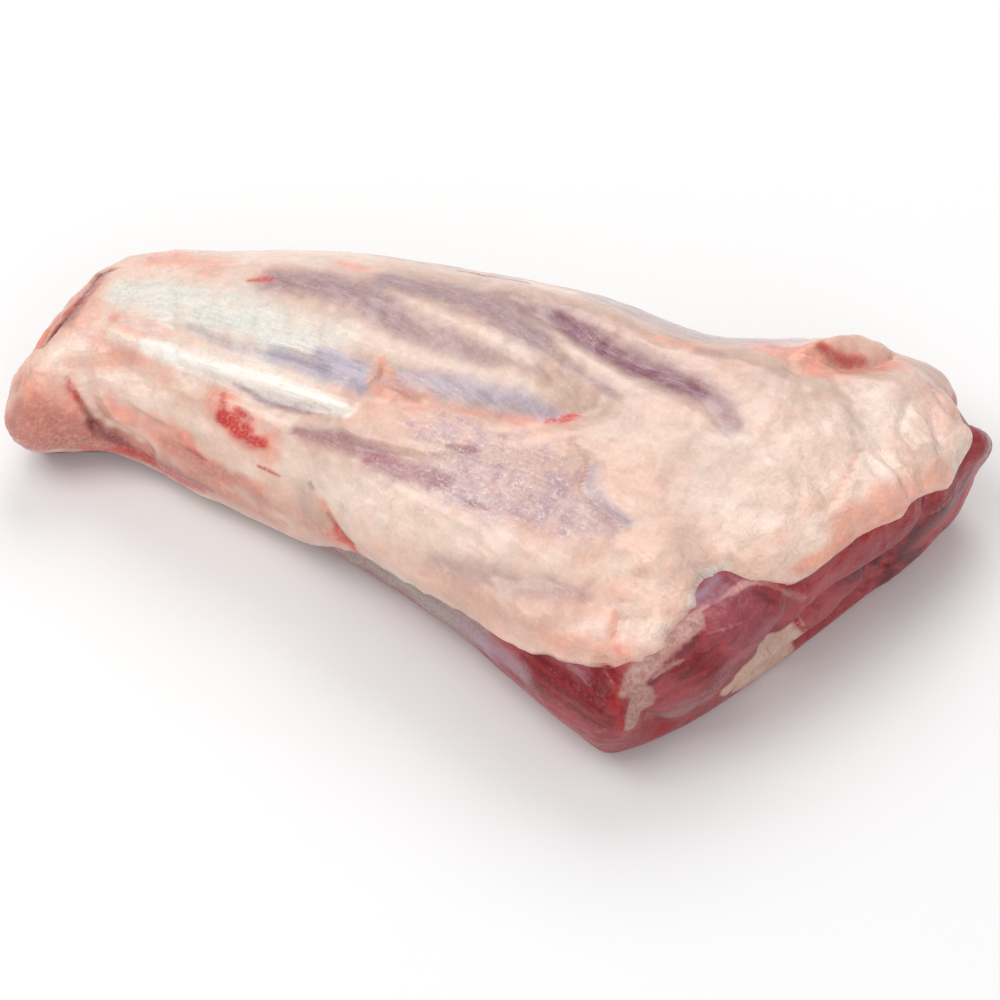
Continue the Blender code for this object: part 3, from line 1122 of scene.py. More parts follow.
@dataclass(frozen=True)
class Skin:
    """What the fat cover and the lean meat share: a closed grid over the form, relief, and marks."""

    name: str
    finish: Finish
    corner: float = 1.106
    corner_reach: Span = (0.05, 0.12)
    evenings: int = 40
    relief_from: float = 2.0
    relief_full: float = 9.0
    uneven: tuple[tuple[float, float, int], ...] = ((0.45, 5.5, 31), (0.4, 1.9, 41))

    def relief(self, bare: Array, strokes: tuple[Stroke, ...]) -> Array:
        """Ridges and grooves over the bare form, which fade out towards the table."""
        return ridges(bare, strokes) * smooth_step(self.relief_from, self.relief_full, bare[:, 2])

    def marks(self, bare: Array, table: MarkTable, shape: tuple[int, int]) -> dict[str, Array]:
        """Cover of each tissue that the finish shows, with outlines that noise makes uneven.

        Args:
            bare: places on the bare form, one a row.
            table: the strokes of each tissue.
            shape: rows and columns of the grid.

        Returns:
            A grid of covers for each tissue's name.
        """
        uneven = sum(weight * noise(bare, size, seed) for weight, size, seed in self.uneven)
        return {
            layer.tissue.value: stains(bare, table[layer.tissue], layer.wander * uneven).reshape(shape)
            for layer in self.finish.layers
        }

    def even(self, along: Array, points: Array, normal: Array) -> tuple[Array, Array]:
        """Points and normals smoothed along the rows where the rim meets the cut face.

        Args:
            along: places along the shank.
            points: the skin's points.
            normal: its normals.

        Returns:
            The smoothed points and normals.
        """
        near = 1 - smooth_step(*self.corner_reach, np.abs(along - self.corner))
        share = 0.5 * near[1:-1, :, None]
        points, normal = points.copy(), normal.copy()
        for _ in range(self.evenings):
            for grid in (points, normal):
                grid[1:-1] += share * ((grid[:-2] + grid[2:]) / 2 - grid[1:-1])
        return points, unit(normal)

    def settle(self, piece: bpy.types.Object) -> bpy.types.Object:
        """Dresses the piece and ties it to the frame.

        Args:
            piece: the object.

        Returns:
            The same object.
        """
        piece.data.materials.append(self.finish.build())
        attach(piece, "root")
        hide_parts(NODE)
        log.info("%s: %d points, %d faces", piece.name, len(piece.data.vertices), len(piece.data.polygons))
        return piece


@dataclass(frozen=True)
class FatCover(Skin):
    """The fat over the upper side, with a rounded edge. Outside its outline it runs on under the meat."""

    name: str = "fat_cover"
    finish: Finish = FAT_FINISH
    thick: Stations = ((-0.7, 0.2), (0, 2.0), (0.1, 2.4), (0.35, 2.4), (0.8, 2.7), (1.2, 2.7))
    columns: int = 292
    hidden_columns: int = 14
    cap_rows: int = 24
    cap_power: float = 0.8
    side_rows: int = 282
    hidden_rows: int = 8
    hidden_gap: float = 0.03
    degree_gap: float = 1.0 / 0.6
    drawn_from: float = 0.8
    fittings: int = 3
    softenings: int = 12
    lip: float = 1.6
    steep: float = 0.5
    steep_change: float = 0.35
    shoulder: float = 7.0
    detailed_from: float = 3.0
    detailed_cap: Span = (-1.0, -0.8)
    dive: float = 1.7
    sunk: float = 3.0
    sunk_end: float = 4.5
    sunk_from: Span = (1.05, 1.3)
    loose_cut: Span = (0.86, 0.99)
    loose_hock: Span = (0.0, 0.25)
    soft_lumps: Rough = Rough(0.35, 16, 3, 11)
    cut_lumps: Rough = Rough(0.9, 7, 3, 12)
    cut_lumps_from: Span = (0.86, 0.98)
    fibres: Rough = Rough(0.16, 1.6, 2, 13)
    fibre_stretch: float = 6.0
    wrinkles: Rough = Rough(0.3, 4, 2, 14)
    wrinkles_to: Span = (0.05, 0.2)

    def grid(self) -> tuple[Array, Array, Array]:
        """Places along and around of the grid, and whether each point is part of the shown cover.

        Returns:
            The three grids.
        """
        cap = np.linspace(0, 1, self.cap_rows + 1)[:-1] ** self.cap_power - 1
        shown = np.concatenate([cap, np.linspace(0, 1, self.side_rows)])
        start, end = EDGE.near(shown)[:, None], EDGE.far(shown)[:, None]
        for _ in range(self.fittings):
            start, end = EDGE.near(self.lay(shown, start)), EDGE.far(self.lay(shown, end))
        gap = self.degree_gap
        over = start + (end - start) * np.linspace(0, 1, self.columns)
        under = end + gap + (360 - 2 * gap + start - end) * np.linspace(0, 1, self.hidden_columns)
        around = np.concatenate([over, under], 1)
        along = self.lay(shown, around)
        last = along[-1] + self.hidden_gap
        share = np.linspace(0, 1, self.hidden_rows)[:, None]
        along = np.concatenate([along, last + share * (2 - last)])
        around = np.concatenate([around, np.repeat(around[-1:], self.hidden_rows, 0)])
        part = np.zeros(around.shape)
        part[: len(shown), : self.columns] = 1
        return along, around, part

    def lay(self, shown: Array, around: Array) -> Array:
        """Places along of the rows: even steps, stretched from `drawn_from` on to the cut end's outline.

        Args:
            shown: the rows' places, evenly spaced.
            around: degrees round it.

        Returns:
            A place along for each row and angle.
        """
        turned = wrapped(around)
        first = (self.drawn_from - 1) * FORM.span
        share = (shown[:, None] - self.drawn_from) / (1 - self.drawn_from)
        reached = first + share * (EDGE.travel(EDGE.beyond(turned), turned) - first)
        return np.where(share > 0, EDGE.arrive(reached, turned), shown[:, None])

    def build(self) -> bpy.types.Object:
        """Makes the cover: the bare form, smoothed a little and pushed out by the fat.

        Returns:
            The piece.
        """
        along, around, part = self.grid()
        bare, normal = FORM.place(along, around), FORM.normal(along, around)
        for _ in range(self.softenings):
            normal[1:-1] = (normal[:-2] + 2 * normal[1:-1] + normal[2:]) / 4
        evened, normal = self.even(along, bare, unit(normal))
        points = evened + normal * self.lift(along, around, part, bare)[..., None]
        layers = self.layers(along, bare.reshape(-1, 3))
        layers["flow"] = FLOW.at(along, around)
        return self.settle(closed_mesh(self.name, points, layers))

    def lift(self, along: Array, around: Array, part: Array, bare: Array) -> Array:
        """How far the skin lies outside the bare form.

        The fat's thickness rises from its outline as a parabola and a long shoulder, and carries the relief
        and the lumps. Outside the outline the skin dives under the meat. Its hidden part is pushed in.

        Args:
            along: places along the shank.
            around: degrees round it.
            part: 1 where the cover is shown and 0 where it is hidden.
            bare: the places on the bare form.

        Returns:
            Millimetres for each place.
        """
        flat = bare.reshape(-1, 3)
        signed = EDGE.depth(along, around) * part
        depth = np.maximum(signed, 0)
        dive = np.minimum(self.dive * np.maximum(-signed, 0), self.sunk)
        lip = 1 - (1 - np.clip(depth / self.lip, 0, 1)) ** 2
        share = self.steep + self.steep_change * noise(bare, 9, 15)
        rise = share * lip + (1 - share) * smooth_step(0, self.shoulder, depth)
        main = self.relief(flat, MAIN_RELIEF).reshape(along.shape)
        detail = self.relief(flat, FAT_RELIEF).reshape(along.shape)
        lumps = self.lumps(along, around, flat).reshape(along.shape)
        fade = smooth_step(0, self.detailed_from, depth) * smooth_step(*self.detailed_cap, along)
        deep = self.sunk + self.sunk_end * smooth_step(*self.sunk_from, along)
        cover = curve(self.thick, along) * rise + main + (detail + lumps) * fade - dive
        return np.where(part > 0, cover, main - deep)

    def layers(self, along: Array, flat: Array) -> dict[str, Array]:
        """What the mesh keeps for the finish: each tissue's cover, fibres, wetness, painted glints and
        crumpling.

        Args:
            along: places along the shank.
            flat: the places on the bare form, one a row.

        Returns:
            A grid of values for each name.
        """
        layers = self.marks(flat, FAT_MARKS, along.shape)
        fibrous = np.maximum.reduce([share * layers[tissue.value] for tissue, share in FIBROUS.items()])
        wet = np.clip(layers["web"] + 0.6 * layers["window"] + 0.5 * layers["blood"], 0, 1)
        loose_hock = 0.8 * (1 - smooth_step(*self.loose_hock, along))
        loose = np.maximum(smooth_step(*self.loose_cut, along), loose_hock)
        return layers | {
            "hair": 0.06 + 0.94 * fibrous,
            "wet": wet,
            # where painted glints and glinting strands show
            "glint": 0.12 + 0.6 * layers["web"],
            "crumple": 0.12 + 0.6 * loose,
        }

    def lumps(self, along: Array, around: Array, flat: Array) -> Array:
        """Uneven fat: soft lumps and fibres, strong lumps at the cut end, and wrinkles near the hock.

        Args:
            along: places along the shank.
            around: degrees round it.
            flat: the places on the bare form, one a row.

        Returns:
            Millimetres for each point.
        """
        place = along.ravel()
        strong = self.cut_lumps.at(flat, smooth_step(*self.cut_lumps_from, place))
        fibres = FLOW.fibres(along, around, self.fibres, self.fibre_stretch)
        wrinkles = self.wrinkles.at(flat, 1 - smooth_step(*self.wrinkles_to, place))
        return self.soft_lumps.at(flat) + strong + fibres + wrinkles


FIBROUS = {
    Tissue.SILVER: 0.9,
    Tissue.FELL: 0.25,
    Tissue.MUSCLE: 0.4,
    Tissue.VEIL: 0.5,
    Tissue.PLUM: 0.5,
    Tissue.WINDOW: 0.8,
    Tissue.TENDON: 0.7,
    Tissue.WEB: 0.8,
}

FAT_MARKS: MarkTable = {
    Tissue.FELL: (
        Stroke(((0.24, 97), (0.33, 98), (0.42, 97)), 8, 1.1),
        Stroke(((0.62, 120), (0.74, 118), (0.82, 116), (0.86, 120)), 8, 1.2),
        Stroke(((0.73, 99), (0.79, 95), (0.86, 93), (0.88, 84)), 7, 1.2),
        Stroke(((0.9, 78), (0.93, 72), (0.96, 70)), 4, 0.8),
        Stroke(((0.94, 156), (0.97, 144), (1.0, 130)), 8, 1.3),
        Stroke(((0.84, 156), (0.89, 159), (0.94, 158)), 5, 0.8),
        Stroke(((0.9, 132), (0.92, 126), (0.93, 116)), 5, 0.9),
        Stroke(((0.78, 90), (0.8, 97), (0.8, 104)), 5, 1.1),
        Stroke(((0.76, 118), (0.79, 112), (0.82, 108)), 5, 0.9),
        Stroke(((0.94, 92), (0.955, 86), (0.96, 82)), 4, 0.5),
        Stroke(((0.8, 20), (0.84, 28), (0.86, 36)), 6, 0.6),
        Stroke(((0.6, 133), (0.68, 134), (0.74, 132), (0.78, 128)), 4.5, 0.7),
        Stroke(((0.86, 132), (0.9, 128), (0.94, 118), (0.95, 108)), 4, 0.8),
        Stroke(((0.26, 115), (0.31, 114), (0.36, 115)), 4, 1.1),
        Stroke(((0.36, 111), (0.46, 114), (0.56, 112), (0.68, 108)), 9, 1.0),
        Stroke(((0.42, 86), (0.52, 88), (0.63, 91), (0.74, 95)), 8, 1.0),
        Stroke(((0.45, 75), (0.54, 77), (0.64, 83)), 4, 0.7),
        Stroke(((0.45, 40), (0.55, 46), (0.66, 54)), 6, 0.6),
        Stroke(((0.455, 19), (0.475, 12), (0.51, 9)), 2.6, 1.0),
        Stroke(((0.4, 40), (0.45, 36), (0.55, 36)), 3.0, 0.4),
    ),
    Tissue.CREAM: (
        Stroke(((0.86, 88), (0.93, 92), (0.97, 104)), 15, 0.6),
        Stroke(((0.9, 80), (0.95, 84), (1.0, 90)), 3.0, 0.7),
        Stroke(((0.96, 112), (1.04, 110), (1.1, 122)), 3.0, 0.8),
        Stroke(((0.005, 52), (0.03, 57), (0.04, 63)), 4, 0.8),
        Stroke(((0.6, 40), (0.7, 41), (0.78, 44)), 5, 0.7),
        Stroke(((0.92, 36), (0.96, 44), (0.985, 52)), 2.2, 0.8),
        Stroke(((0.84, 44), (0.88, 50), (0.91, 58)), 2.6, 0.6),
        Stroke(((0.95, 124), (1.0, 134)), 8, 0.9),
        Stroke(((0.5, 30), (0.64, 32), (0.78, 38)), 5, 0.7),
        Stroke(((0.38, 85), (0.48, 82.5), (0.56, 84), (0.66, 88.5)), 2.6, 0.75),
        Stroke(((0.4, 101), (0.46, 99), (0.53, 95.5), (0.6, 94)), 1.6, 0.6),
        Stroke(((0.55, 107), (0.61, 105.5), (0.68, 103.5), (0.74, 100)), 1.7, 0.6),
        Stroke(((0.62, 119), (0.7, 117), (0.77, 111), (0.83, 105)), 2.0, 0.35),
        Stroke(((0.05, 110), (0.2, 108), (0.3, 118)), 6, 0.6),
        Stroke(((0.3, 46), (0.4, 44), (0.45, 47)), 1.6, 0.8),
        Stroke(((0.36, 24), (0.5, 32), (0.6, 36)), 4, 0.7),
        Stroke(((0.2, 150), (0.5, 160), (0.8, 150)), 12, 0.5),
        Stroke(((0.0, 58), (0.03, 50), (0.04, 44)), 2.2, 0.8),
        Stroke(((0.12, 30), (0.2, 32), (0.25, 29)), 2.2, 0.6),
        Stroke(((0.09, 43), (0.15, 47), (0.22, 45)), 2.2, 0.6),
        Stroke(((0.5, 132), (0.54, 134)), 1.2, 0.9),
    ),
    Tissue.BLUSH: (
        Stroke(((0.68, 118), (0.78, 116), (0.8, 96)), 8, 0.14),
        Stroke(((0.96, 152), (0.985, 134)), 5, 0.25),
        Stroke(((0.29, 115), (0.33, 114)), 3, 0.3),
        Stroke(((1.02, 93), (1.06, 103), (1.09, 114), (1.1, 126)), 2.4, 0.6),
        Stroke(((0.01, 30), (0.03, 27)), 4.2, 0.85),
        Stroke(((0.47, 20), (0.49, 17), (0.51, 13)), 0.7, 0.4, 0.5),
        Stroke(((0.024, 20), (0.046, 20)), 2.6, 0.9),
        Stroke(((-0.05, 22), (-0.02, 8)), 2.4, 0.5),
        Stroke(((-0.3, 30), (-0.4, 80), (-0.3, 120)), 8, 0.3),
        Stroke(((-0.26, 56), (-0.3, 70), (-0.28, 84)), 1.3, 1.2),
        Stroke(((0.0, 84), (0.02, 88)), 3.0, 0.35),
        Stroke(((0.02, 336), (0.05, 344), (0.08, 350)), 2.2, 0.9),
        Stroke(((0.045, 77), (0.074, 71.5), (0.1, 67.5), (0.14, 65)), 1.2, 0.8),
        Stroke(((0.04, 66), (0.062, 61), (0.085, 56.5), (0.115, 55)), 1.6, 0.5),
        Stroke(((0.01, 73), (0.03, 68)), 2.6, 0.25),
        Stroke(((0.02, 54), (0.1, 50), (0.17, 45)), 1.6, 0.4),
        Stroke(((0.1, 22), (0.15, 16), (0.21, 14)), 3.4, 0.8),
        Stroke(((0.235, 17), (0.25, 13.5), (0.275, 11), (0.305, 8)), 1.7, 0.9),
        Stroke(((0.305, 8), (0.34, 8), (0.38, 10)), 1.1, 0.6),
        Stroke(((0.24, 2), (0.3, -1), (0.36, -4)), 2.2, 0.5),
        Stroke(((0.262, 43), (0.28, 36), (0.33, 31), (0.365, 30)), 2.8, 0.8),
        Stroke(((0.03, 121), (0.08, 118), (0.13, 108)), 3.4, 0.6),
        Stroke(((0.285, 117), (0.312, 117)), 1.7, 0.6),
        Stroke(((0.21, 100), (0.25, 106)), 2.4, 0.3),
        Stroke(((0.445, 78), (0.455, 75), (0.49, 74.3), (0.527, 74), (0.555, 70.5)), 0.8, 0.6, 0.3),
        Stroke(((0.45, 68), (0.49, 67), (0.53, 67.5), (0.555, 69.5)), 0.9, 0.6, 0.3),
        Stroke(((0.555, 70), (0.595, 73.5), (0.651, 79.5), (0.693, 84)), 0.8, 0.55, 0.3),
        Stroke(((0.66, 79), (0.693, 84), (0.71, 87)), 1.5, 0.4),
        Stroke(((0.44, 57), (0.5, 62), (0.56, 64)), 3.0, 0.2),
        Stroke(((0.82, 22), (0.9, 33), (0.965, 42)), 8, 0.15),
        Stroke(((0.92, 28), (0.96, 36), (0.98, 38)), 2.6, 0.35),
        Stroke(((0.94, 47), (0.955, 42), (0.975, 38)), 0.8, 0.6, 0.3),
        Stroke(((0.79, 130), (0.82, 127), (0.85, 125.5), (0.885, 132), (0.905, 141)), 3.0, 0.75),
        Stroke(((0.85, 134), (0.853, 148)), 1.6, 0.35),
        Stroke(((0.685, 123), (0.721, 124), (0.745, 120.5)), 1.2, 0.5),
        Stroke(((0.5, 16), (0.53, 11), (0.56, 6)), 1.2, 0.7),
        Stroke(((0.53, 4), (0.565, 3), (0.6, -4)), 1.6, 0.8),
        Stroke(((0.965, 108), (0.985, 99), (0.993, 93)), 0.7, 0.35, 0.5),
        Stroke(((0.985, 92), (0.99, 87), (0.996, 83)), 0.7, 0.3, 0.5),
        Stroke(((1.05, 82), (1.09, 88), (1.13, 97), (1.15, 110)), 0.9, 0.7, 0.4),
        Stroke(((0.84, 76), (0.88, 82)), 3, 0.12),
        Stroke(((0.88, 70), (0.93, 74)), 6, 0.12),
        Stroke(((0.3, 160), (0.4, 172)), 5, 0.4),
    ),
    Tissue.SILVER: (
        Stroke(((0.03, 92), (0.1, 86), (0.16, 80), (0.24, 76), (0.32, 73), (0.38, 71.5)), 4.6, 1.0, 0.25),
        Stroke(((0.2, 88), (0.28, 84), (0.38, 80)), 3.6, 0.45),
        Stroke(((0.06, 74), (0.12, 65), (0.18, 61), (0.26, 62), (0.4, 62)), 1.2, 0.5, 0.4),
        Stroke(((0.3, 175), (0.5, 180), (0.7, 172)), 5, 0.8),
        Stroke(((0.985, 62), (0.976, 66), (0.973, 70), (0.978, 74)), 0.7, 1.0, 0.3),
    ),
    Tissue.VEIL: (
        Stroke(((0.3, 67), (0.36, 67), (0.42, 67), (0.447, 66.5)), 1.9, 1.0, 0.3),
        Stroke(((0.365, 71), (0.39, 71.5), (0.43, 71.5)), 2.1, 1.0, 0.3),
        Stroke(((0.49, 74.5), (0.539, 77), (0.595, 80), (0.647, 84), (0.691, 86)), 2.6, 0.8, 0.4),
        Stroke(((0.16, 71), (0.22, 67), (0.29, 66)), 1.0, 0.5, 0.4),
        # lilac membrane, darkened as painted shade along the tendon's lower edge
        Stroke(((0.275, 50.5), (0.331, 49), (0.387, 50.8), (0.42, 53)), 1.0, 0.8, 0.5),
        # lilac membrane, darkened as painted shade beside the fold
        Stroke(((0.795, 76), (0.815, 70.5), (0.84, 68.5), (0.88, 67.5)), 1.4, 0.75, 0.4),
        Stroke(((0.78, 62), (0.83, 63), (0.87, 64)), 2.4, 0.4),
        # painted bluish sheen along the top edge
        Stroke(((0.56, 140), (0.6, 144), (0.66, 148), (0.72, 142), (0.8, 140)), 5.0, 0.6, 0.4),
        Stroke(((0.68, 52), (0.73, 53), (0.77, 56)), 1.8, 0.5),
    ),
    Tissue.MUSCLE: (
        Stroke(((0.23, 98), (0.29, 99), (0.345, 98), (0.385, 94.5), (0.429, 91)), 3.9, 1.15, 0.3),
        Stroke(((0.4, 92), (0.45, 90), (0.51, 89), (0.57, 89)), 2.8, 0.75, 0.5),
        Stroke(((0.36, 110), (0.441, 109.5), (0.487, 108), (0.545, 103), (0.59, 101)), 4.2, 1.05, 0.4),
        Stroke(((0.49, 92), (0.55, 91), (0.63, 92.5)), 1.8, 0.35, 0.5),
        Stroke(((0.6, 99.5), (0.649, 99), (0.689, 98), (0.735, 95)), 1.2, 0.8, 0.5),
        Stroke(((0.47, 113), (0.52, 113), (0.565, 115)), 2.4, 0.65, 0.4),
        Stroke(
            (
                (0.55, 115), (0.61, 113), (0.661, 111.5), (0.711, 109),
                (0.776, 103.5), (0.826, 100), (0.86, 96),
            ),
            3.8, 0.85, 0.4,
        ),
        Stroke(((0.745, 119.5), (0.775, 118)), 1.0, 0.6),
        Stroke(((0.71, 25), (0.81, 33), (0.91, 46)), 2.6, 0.5, 0.5),
        Stroke(((0.3, 140), (0.5, 150), (0.7, 150)), 4.5, 0.5, 0.7),
        Stroke(((0.6, 138), (0.65, 139), (0.7, 134), (0.75, 132)), 3.4, 0.45, 0.7),
        Stroke(((0.15, 160), (0.4, 168)), 4.5, 0.5, 0.7),
    ),
    Tissue.PLUM: (
        Stroke(
            ((0.565, 114.7), (0.605, 113.3), (0.661, 111), (0.711, 108.7), (0.76, 105), (0.81, 101)),
            2.5, 1.0, 0.6,
        ),
        Stroke(((0.64, 112), (0.7, 109.5), (0.76, 105)), 1.8, 0.7, 0.5),
    ),
    Tissue.WEB: (
        Stroke(((0.6, 62), (0.68, 65), (0.78, 69)), 5.5, 0.75),
        Stroke(((0.66, 53), (0.75, 55), (0.84, 61)), 4.4, 0.85),
    ),
    Tissue.SINEW: (
        Stroke(((0.462, 71.8), (0.49, 71), (0.53, 70.5)), 1.7, 0.6, 0.3),
        Stroke(((0.0, 18), (0.012, 25)), 2.6, 0.7),
        Stroke(((-0.02, 6), (0.02, 4), (0.05, 4), (0.08, 1), (0.12, -5)), 3.6, 1.2),
        Stroke(((0.01, 22), (0.034, 21), (0.052, 14)), 2.0, 0.75),
        Stroke(((0.2, 10), (0.25, 8), (0.3, 7), (0.37, 4)), 2.2, 0.75),
        Stroke(((0.38, 3), (0.46, 4), (0.56, 2)), 2.4, 0.4),
        Stroke(((0.96, 154), (0.98, 152), (1.0, 149)), 2.6, 0.45),
        Stroke(((0.89, 134), (0.93, 130), (0.96, 140)), 3.4, 0.22),
        Stroke(((0.02, -20), (0.08, -16), (0.14, -14)), 3.0, 0.8),
        Stroke(((0.12, -3), (0.155, -7), (0.2, -8), (0.25, -8)), 2.6, 1.0),
        Stroke(((0.18, -4), (0.26, -4), (0.32, -7), (0.4, -7)), 3.4, 0.75),
    ),
    Tissue.WINDOW: (
        Stroke(((0.4, 41.5), (0.44, 43), (0.48, 44.5), (0.525, 46), (0.57, 48)), 2.1, 0.72, 0.5),
        Stroke(((0.54, 43), (0.6, 46.5), (0.66, 52)), 2.2, 0.8, 0.5),
        Stroke(((0.62, 61), (0.66, 65)), 0.9, 0.7, 0.7),
        Stroke(((0.7, 49), (0.74, 51)), 0.8, 0.6, 0.7),
        Stroke(((0.407, 134), (0.45, 133.5), (0.491, 132)), 0.9, 1.0, 0.6),
        Stroke(((-0.06, 108), (-0.08, 102), (-0.07, 95)), 1.2, 1.0, 0.5),
    ),
    Tissue.TENDON: (
        Stroke(((0.055, 66), (0.085, 61.5), (0.128, 57), (0.18, 55)), 1.3, 0.45, 0.4),
        Stroke(((0.12, 57.5), (0.2, 54.4), (0.27, 54.4), (0.34, 55), (0.41, 55), (0.455, 56)), 2.1, 1.3, 0.5),
    ),
    # painted shade in creases, folds, hollows, the cleft, under the tendon and round the top lip
    Tissue.CREASE_SHADE: (
        Stroke(((0.038, 36), (0.055, 25), (0.065, 18), (0.078, 9)), 0.6, 0.75, 0.5),
        Stroke(((0.07, 12), (0.085, 4), (0.11, -2), (0.14, -8), (0.17, -10)), 1.7, 0.9, 0.5),
        Stroke(((-0.05, 43), (-0.06, 35), (-0.03, 27), (-0.03, 14)), 0.6, 0.4, 0.4),
        Stroke(
            ((-0.045, 111), (-0.055, 102), (-0.05, 93), (-0.05, 80), (-0.06, 71), (-0.08, 60)), 0.8, 1.2, 0.5
        ),
        Stroke(((-0.15, 50), (-0.2, 64), (-0.22, 76), (-0.2, 90), (-0.13, 106)), 1.2, 0.55, 0.8),
        Stroke(((0.51, 13), (0.531, 10), (0.55, 7), (0.565, 4)), 0.8, 0.55, 0.5),
        Stroke(((0.75, 80), (0.788, 76), (0.808, 69), (0.834, 67), (0.878, 66)), 0.35, 0.4, 0.5),
        Stroke(((0.842, 129), (0.864, 132), (0.88, 137)), 0.6, 0.6, 0.5),
        Stroke(((0.27, 51), (0.3, 49.5), (0.333, 47.3), (0.38, 49), (0.42, 51)), 0.5, 0.4, 0.5),
        Stroke(((0.463, 23), (0.47, 22)), 0.6, 0.5),
        Stroke(((0.55, 147), (0.575, 150), (0.6, 151)), 0.8, 1.0, 0.5),
        Stroke(((0.17, -6), (0.22, -5), (0.28, -7)), 1.2, 0.5, 0.4),
    ),
    Tissue.BLOOD: (
        Stroke(((0.262, 45), (0.272, 40), (0.277, 34)), 0.8, 0.7, 0.5),
        Stroke(((0.022, 46), (0.03, 40), (0.04, 34), (0.055, 26)), 0.6, 0.7, 0.5),
        Stroke(((0.275, 35), (0.301, 32), (0.333, 30), (0.357, 31)), 1.8, 1.0, 0.5),
        Stroke(((0.285, 37), (0.31, 35), (0.33, 34)), 1.4, 0.7, 0.5),
        Stroke(((0.29, 41), (0.323, 39)), 0.7, 0.7, 0.5),
        Stroke(((0.24, 15), (0.27, 11.5)), 0.8, 0.6, 0.5),
        Stroke(((0.361, 20), (0.405, 20)), 0.45, 0.8, 0.5),
        Stroke(((0.69, 83.5), (0.713, 88.5)), 0.8, 1.0, 0.4),
        Stroke(((0.97, 31), (0.995, 30)), 0.9, 1.0, 0.3),
        Stroke(((0.2, 96), (0.228, 98)), 0.9, 0.8, 0.4),
        Stroke(((0.062, -5), (0.09, -8), (0.124, -8), (0.16, -10), (0.2, -10), (0.26, -10)), 1.2, 0.7, 0.4),
        Stroke(((0.531, 9), (0.54, 5), (0.56, 3), (0.59, -4)), 0.8, 0.7, 0.4),
        # painted red shadow under the top lip
        Stroke(((0.846, 130), (0.866, 133), (0.88, 138)), 0.8, 0.6, 0.5),
        Stroke(((-0.05, 106), (-0.03, 98), (-0.05, 90), (-0.1, 80)), 0.8, 0.6, 0.4),
    ),
}


